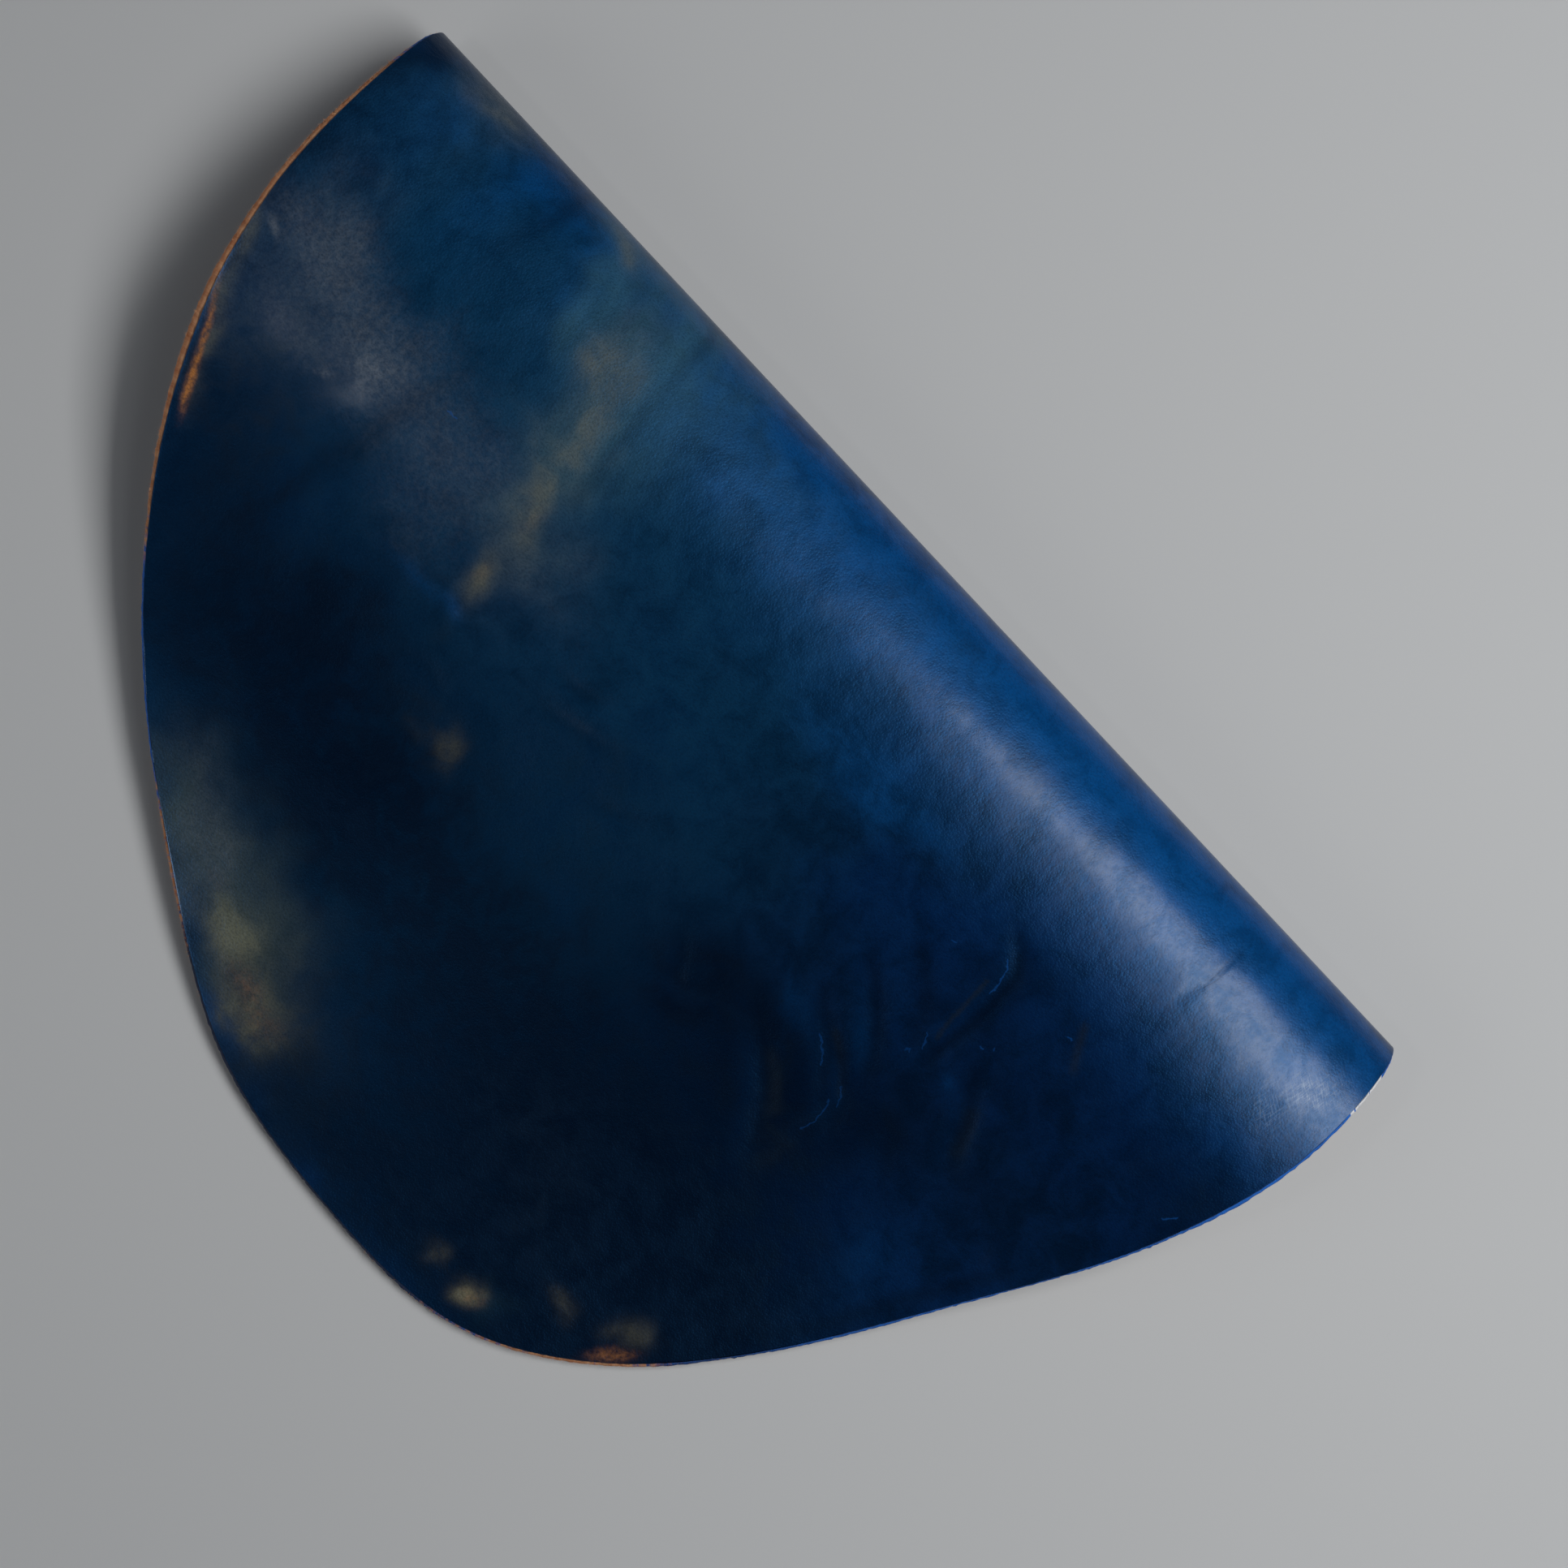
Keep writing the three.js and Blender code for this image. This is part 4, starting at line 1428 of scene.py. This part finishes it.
glazed_grain = make_grain_material()
print(glazed_grain.name, "has", len(glazed_grain.node_tree.nodes), "nodes")

# %% [markdown]
# ## Suede side and cut edge
# The flesh side isn't glazed: it is tan, matt and fibrous, with a soft sheen at
# a slant. The cut edge is a section through the fibres. Where it was left raw
# it is a paler tan, and where it was inked it takes a brighter blue than the
# grain, with a worn white strip at the right end of the fold.

# %% Material: suede flesh side
SUEDE_TAN = linear(176, 128, 88)
SUEDE_DARK = linear(124, 84, 56)
SUEDE_FIBRE_SIZE = 0.9
SUEDE_BUMP = 0.6
SUEDE_HEIGHT = 0.0004
SUEDE_ROUGHNESS = 0.92
SUEDE_SHEEN = 0.35
SUEDE_SHEEN_ROUGHNESS = 0.5


def make_flesh_material():
    material, tree, shader = material_tree("suede_flesh_side")
    values = {"Vector": hide_vector(tree), "Size": SUEDE_FIBRE_SIZE}
    fibre = place_group(tree, leather_fibre, values)
    colour = mix_colour(tree, ramp(tree, fibre["Shade"], 0.45, 1.0), SUEDE_DARK, SUEDE_TAN)
    tree.links.new(colour, shader.inputs["Base Color"])
    bump_normal(tree, shader, fibre["Height"], SUEDE_BUMP, SUEDE_HEIGHT)
    shader.inputs["Roughness"].default_value = SUEDE_ROUGHNESS
    shader.inputs["Sheen Weight"].default_value = SUEDE_SHEEN
    shader.inputs["Sheen Roughness"].default_value = SUEDE_SHEEN_ROUGHNESS
    return material


suede_side = make_flesh_material()
print(suede_side.name, "has", len(suede_side.node_tree.nodes), "nodes")

# %% Material: cut edge
EDGE_TAN = linear(190, 118, 74)
EDGE_PALE = linear(222, 166, 122)
EDGE_BLUE = linear(0, 108, 210)
EDGE_CHIP = linear(250, 249, 248)
CUT_FIBRE_SIZE = 3.0
CUT_BUMP = 0.8
CUT_HEIGHT = 0.0003
FIBRE_ROUGHNESS = 0.8
WORN_OFF = 0.45
PIT_DEPTH = 0.35
DARK_INK = 0.9
# the grain's dye runs over the lip of the cut, this far through it and this strong
LIP_WAY = 0.16
LIP_DYE = 0.85


def inked_colour(tree, vector, fibre):
    """Blue ink with dark pits, worn to white chips and dark where it is thick."""
    worn_off = multiply(tree, attribute(tree, "chipped"), WORN_OFF)
    chips = ramp(tree, add(tree, noise(tree, vector, 0.28, 2.0), worn_off), 0.78, 0.84)
    pits = ramp(tree, fibre["Height"], 0.4, 0.75, 0.0, PIT_DEPTH)
    pits = multiply(tree, pits, math_node(tree, "SUBTRACT", 1.0, chips))
    colour = mix_colour(tree, chips, EDGE_BLUE, EDGE_CHIP)
    colour = mix_colour(tree, pits, colour, DYE_DEEP)
    return mix_colour(tree, multiply(tree, attribute(tree, "dark_ink"), DARK_INK), colour, DYE_DEEP)


def make_edge_material():
    material, tree, shader = material_tree("cut_edge")
    vector = hide_vector(tree)
    fibre = place_group(tree, leather_fibre, {"Vector": vector, "Size": CUT_FIBRE_SIZE})
    tan = mix_colour(tree, ramp(tree, fibre["Shade"], 0.45, 1.0), EDGE_TAN, EDGE_PALE)
    raw_here = broken(tree, attribute(tree, "raw"), noise(tree, vector, 0.5), 0.2, 0.6)
    colour = mix_colour(tree, raw_here, inked_colour(tree, vector, fibre), tan)
    lip = multiply(tree, ramp(tree, attribute(tree, "through"), 0.0, LIP_WAY, 1.0, 0.0), LIP_DYE)
    tree.links.new(mix_colour(tree, lip, colour, DYE_DEEP), shader.inputs["Base Color"])
    bump_normal(tree, shader, fibre["Height"], CUT_BUMP, CUT_HEIGHT)
    shader.inputs["Roughness"].default_value = FIBRE_ROUGHNESS
    return material


finishes = {GRAIN: glazed_grain, EDGE: make_edge_material(), FLESH: suede_side}
for slot in sorted(finishes):
    hide_mesh.materials.append(finishes[slot])
print("finishes:", [material.name for material in hide_mesh.materials])

# %% [markdown]
# ## Loose fibres of the raw cut
# A knife leaves a soft fuzz where it parts the fibres. Each fibre is one thin
# bent spike, scattered over the raw stretch of the cut edge. That is a job for
# Geometry Nodes: points on the faces, a spike on each point with a seeded turn
# and size, then all made real, because the export drops instances.

# %% A single fibre
FIBRE_LENGTH = 1.3
FIBRE_THICK = 0.07
FIBRE_SIDES = 3
TIP_BEND = 0.36

# columns: height, width, bend, as shares of the length, the thickness and the length
SPIKE_LEVELS = [
    (0.0, 1.0, 0.0),
    (0.45, 0.8, 0.06),
    (0.8, 0.5, 0.22),
]


def make_fibre_mesh():
    """A bent three-sided spike along +Z, in metres."""
    corners = []
    for height, wide, bend in SPIKE_LEVELS:
        radius = wide * FIBRE_THICK / 2
        for k in range(FIBRE_SIDES):
            turn = 2 * math.pi * k / FIBRE_SIDES
            x = bend * FIBRE_LENGTH + radius * math.cos(turn)
            corners.append((x * MM, radius * math.sin(turn) * MM, height * FIBRE_LENGTH * MM))
    tip = len(corners)
    corners.append((TIP_BEND * FIBRE_LENGTH * MM, 0, FIBRE_LENGTH * MM))
    sides = [tuple(reversed(range(FIBRE_SIDES)))]
    for first in range(0, tip - FIBRE_SIDES, FIBRE_SIDES):
        for k in range(FIBRE_SIDES):
            a, b = first + k, first + (k + 1) % FIBRE_SIDES
            sides.append((a, b, b + FIBRE_SIDES, a + FIBRE_SIDES))
    last = tip - FIBRE_SIDES
    sides += [(last + k, last + (k + 1) % FIBRE_SIDES, tip) for k in range(FIBRE_SIDES)]
    mesh = bpy.data.meshes.new("fibre_shape")
    mesh.from_pydata(corners, [], sides)
    return mesh


fibre_shape = bpy.data.objects.new("fibre_shape", make_fibre_mesh())
print("one fibre:", len(fibre_shape.data.polygons), "faces")

# %% The raw strip that carries the fibres
FUZZ_FROM = -5


def make_raw_strip():
    """A copy of the cut edge's middle strip, with how raw it is at each point."""
    upper, lower = rings[2], rings[3]
    count = len(upper)
    strip_points = np.concatenate([points[upper], points[lower]]) * MM
    following = [*range(1, count), 0]
    strip_faces = [(k, n, count + n, count + k) for k, n in enumerate(following)]
    mesh = bpy.data.meshes.new("edge_fibres")
    mesh.from_pydata(strip_points.tolist(), [], strip_faces)
    amount = raw[upper] * (all_across[upper] > FUZZ_FROM)
    add_values(mesh, "fuzz", np.concatenate([amount, amount]))
    return mesh


strip = bpy.data.objects.new("fibre_strip", make_raw_strip())
bpy.context.collection.objects.link(strip)
print("strip of", len(strip.data.polygons), "faces")


# %% Material: loose fibres
def make_fibre_material():
    material, tree, shader = material_tree("edge_fibre")
    place = add_node(tree, "ShaderNodeTexCoord").outputs["Object"]
    shade = add_node(tree, "ShaderNodeTexNoise", {"Vector": place, "Scale": 400.0}).outputs["Fac"]
    colour = mix_colour(tree, ramp(tree, shade, 0.35, 0.65), EDGE_TAN, EDGE_PALE)
    tree.links.new(colour, shader.inputs["Base Color"])
    shader.inputs["Roughness"].default_value = FIBRE_ROUGHNESS
    return material


fibre_finish = make_fibre_material()
print("finish of the fibres:", fibre_finish.name)

# %% Geometry Nodes: scatter the fibres
FIBRE_LEAN = (0.9, 0.9, 3.1)
LEAN_SEED = 4
SIZE_SEED = 7
FIBRE_INPUTS = [
    ("Geometry", "Geometry"), ("Density", "Float"), ("Shortest", "Float"),
    ("Fibre", "Object"), ("Seed", "Int"), ("Finish", "Material"),
]


def fibre_tree():
    """Points on the fuzzy faces, a leaning spike on each, all made real."""
    tree = bpy.data.node_groups.new("scatter_fibres", "GeometryNodeTree")
    for label, kind in FIBRE_INPUTS:
        tree.interface.new_socket(label, in_out="INPUT", socket_type="NodeSocket" + kind)
    tree.interface.new_socket("Geometry", in_out="OUTPUT", socket_type="NodeSocketGeometry")
    given = tree.nodes.new("NodeGroupInput").outputs
    leave = tree.nodes.new("NodeGroupOutput").inputs
    fuzz = add_node(tree, "GeometryNodeInputNamedAttribute", {"Name": "fuzz"}, data_type="FLOAT")
    density = multiply(tree, fuzz.outputs["Attribute"], given["Density"])
    spots = {"Mesh": given["Geometry"], "Density": density, "Seed": given["Seed"]}
    spots = add_node(tree, "GeometryNodeDistributePointsOnFaces", spots).outputs
    lean = {0: tuple(-angle for angle in FIBRE_LEAN), 1: FIBRE_LEAN, "Seed": LEAN_SEED}
    lean = add_node(tree, "FunctionNodeRandomValue", lean, data_type="FLOAT_VECTOR").outputs["Value"]
    turned = {"Rotation": spots["Rotation"], "Rotate By": lean}
    turned = add_node(tree, "FunctionNodeRotateRotation", turned, rotation_space="LOCAL").outputs["Rotation"]
    size = {2: given["Shortest"], 3: 1.0, "Seed": SIZE_SEED}
    size = add_node(tree, "FunctionNodeRandomValue", size, data_type="FLOAT").outputs[1]
    shape = {"Object": given["Fibre"]}
    shape = add_node(tree, "GeometryNodeObjectInfo", shape, transform_space="ORIGINAL").outputs["Geometry"]
    copies = {"Points": spots["Points"], "Instance": shape, "Rotation": turned, "Scale": size}
    copies = add_node(tree, "GeometryNodeInstanceOnPoints", copies).outputs["Instances"]
    real = add_node(tree, "GeometryNodeRealizeInstances", {"Geometry": copies}).outputs["Geometry"]
    dressed = add_node(tree, "GeometryNodeSetMaterial", {"Geometry": real, "Material": given["Finish"]})
    tree.links.new(dressed.outputs["Geometry"], leave["Geometry"])
    return tree


scatter_fibres = fibre_tree()
describe(scatter_fibres)

# %% Grow the fibres
FIBRES_A_SQUARE_MM = 7.0
SHORTEST_FIBRE = 0.35
FIBRE_SEED = 12


def socket_id(tree, label):
    """The identifier that a modifier needs for an input."""
    return next(item.identifier for item in tree.interface.items_tree
                if item.name == label and item.in_out == "INPUT")


def grow_fibres():
    """The scattered fibres as one plain mesh."""
    modifier = strip.modifiers.new("fibres", "NODES")
    modifier.node_group = scatter_fibres
    values = {"Density": FIBRES_A_SQUARE_MM / MM**2, "Shortest": SHORTEST_FIBRE}
    values.update({"Fibre": fibre_shape, "Seed": FIBRE_SEED, "Finish": fibre_finish})
    for label, value in values.items():
        modifier[socket_id(scatter_fibres, label)] = value
    evaluated = strip.evaluated_get(bpy.context.evaluated_depsgraph_get())
    mesh = bpy.data.meshes.new_from_object(evaluated)
    bpy.data.objects.remove(strip)
    bpy.data.objects.remove(fibre_shape)
    mesh.name = "edge_fibres"
    grown = bpy.data.objects.new("edge_fibres", mesh)
    bpy.context.collection.objects.link(grown)
    return grown


fibres = grow_fibres()
print("fibres:", len(fibres.data.polygons), "faces, materials", list(fibres.data.materials))

# %% [markdown]
# ## A plain studio
# A pale floor, two soft windows on the right, a weak fill on the left and a
# small lamp. The glaze mirrors only what lies in its direction, so a flat hide
# under a camera looks almost black, and the windows draw one soft band where
# the fold leans towards them. That band is what makes leather look polished.

# %% Floor
FLOOR_SIZE = 6.0
FLOOR_GAP = 0.0002
FLOOR_COLOUR = (0.5, 0.5, 0.49, 1.0)
FLOOR_ROUGHNESS = 0.7


def make_floor():
    """A square under the hide, lower by a hair so that the two don't share a plane."""
    half = FLOOR_SIZE / 2
    corners = [(x, y, -FLOOR_GAP) for x, y in ((-half, -half), (half, -half), (half, half), (-half, half))]
    mesh = bpy.data.meshes.new("floor")
    mesh.from_pydata(corners, [], [(0, 1, 2, 3)])
    material, _, shader = material_tree("pale_floor")
    shader.inputs["Base Color"].default_value = FLOOR_COLOUR
    shader.inputs["Roughness"].default_value = FLOOR_ROUGHNESS
    mesh.materials.append(material)
    ground = bpy.data.objects.new("floor", mesh)
    bpy.context.collection.objects.link(ground)
    return ground


floor = make_floor()
print("floor:", FLOOR_SIZE, "m square")

# %% Lights
PHOTO_TURN = math.radians(46.85)
WINDOW_COLOUR = (0.97, 0.98, 1.0)
PLAIN_COLOUR = (1.0, 1.0, 1.0)
ROOM_COLOUR = (0.4, 0.62, 1.0, 1.0)
ROOM_STRENGTH = 0.045

# columns: name, way to the right and up on the photo, height, aim, size, power, colour
LIGHTS = [
    ("window", (0.9, 0.0), 1.25, (0.0, 0.05, 0.0), (1.1, 0.46), 17, WINDOW_COLOUR),
    ("upper_window", (0.7, 0.0), 1.5, (0.0, 0.05, 0.0), (1.1, 0.5), 2.5, WINDOW_COLOUR),
    ("fill", (-1.6, -0.48), 0.9, (0.0, 0.0, 0.0), (1.6, 1.0), 5, PLAIN_COLOUR),
    ("lamp", (-0.6639, 0.0356), 1.5, (-0.1, 0.0, 0.0), (0.16, 0.12), 0.6, PLAIN_COLOUR),
]


def in_part_frame(right, up):
    """A place on the photo, as X and Y of the part."""
    cos, sin = math.cos(PHOTO_TURN), math.sin(PHOTO_TURN)
    return right * cos - up * sin, right * sin + up * cos


def add_area(name, on_photo, height, aim, size, power, colour):
    """A soft rectangular light, turned towards aim."""
    light = bpy.data.lights.new(name, "AREA")
    light.shape = "RECTANGLE"
    light.size, light.size_y = size
    light.energy = power
    light.color = colour
    lamp = bpy.data.objects.new(name, light)
    place = Vector((*in_part_frame(*on_photo), height))
    lamp.location = place
    lamp.rotation_euler = (Vector(aim) - place).to_track_quat("-Z", "Y").to_euler()
    bpy.context.collection.objects.link(lamp)


for row in LIGHTS:
    add_area(*row)
room = bpy.data.worlds.new("room")
room.use_nodes = True
background = room.node_tree.nodes["Background"]
background.inputs["Color"].default_value = ROOM_COLOUR
background.inputs["Strength"].default_value = ROOM_STRENGTH
bpy.context.scene.world = room
print("lights:", [row[0] for row in LIGHTS])

# %% [markdown]
# ## The camera
# The photo was taken from straight above, with the fold at a slant. The camera
# stands over the same place of the hide, so that the crest leans out of the
# picture's middle as it does in the photo.

# %% Camera, as the photo was taken
CAMERA_HEIGHT = 1.1
VIEW_WIDTH = 0.5284
SENSOR = 36.0
CAMERA_ALONG = 0.027
CAMERA_IN_FROM_FOLD = 0.0879

camera_data = bpy.data.cameras.new("camera")
camera_data.sensor_width = SENSOR
camera_data.lens = SENSOR * CAMERA_HEIGHT / VIEW_WIDTH
camera = bpy.data.objects.new("camera", camera_data)
camera.location = (CAMERA_ALONG, cad_high.y - CAMERA_IN_FROM_FOLD, CAMERA_HEIGHT)
camera.rotation_euler = (0, 0, PHOTO_TURN)
bpy.context.collection.objects.link(camera)
scene = bpy.context.scene
scene.camera = camera
scene.view_settings.view_transform = "Standard"
print(f"lens {camera_data.lens:.1f} mm")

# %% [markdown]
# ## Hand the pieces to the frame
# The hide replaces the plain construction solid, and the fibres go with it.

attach(hide, "root")
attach(fibres, "root")
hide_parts("shell_leather")
floor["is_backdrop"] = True

visual_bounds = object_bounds()
for label, (low, high) in (("CAD", cad_bounds), ("visual", visual_bounds)):
    print(label, [round(1000 * (b - a), 1) for a, b in zip(low, high)], "mm")
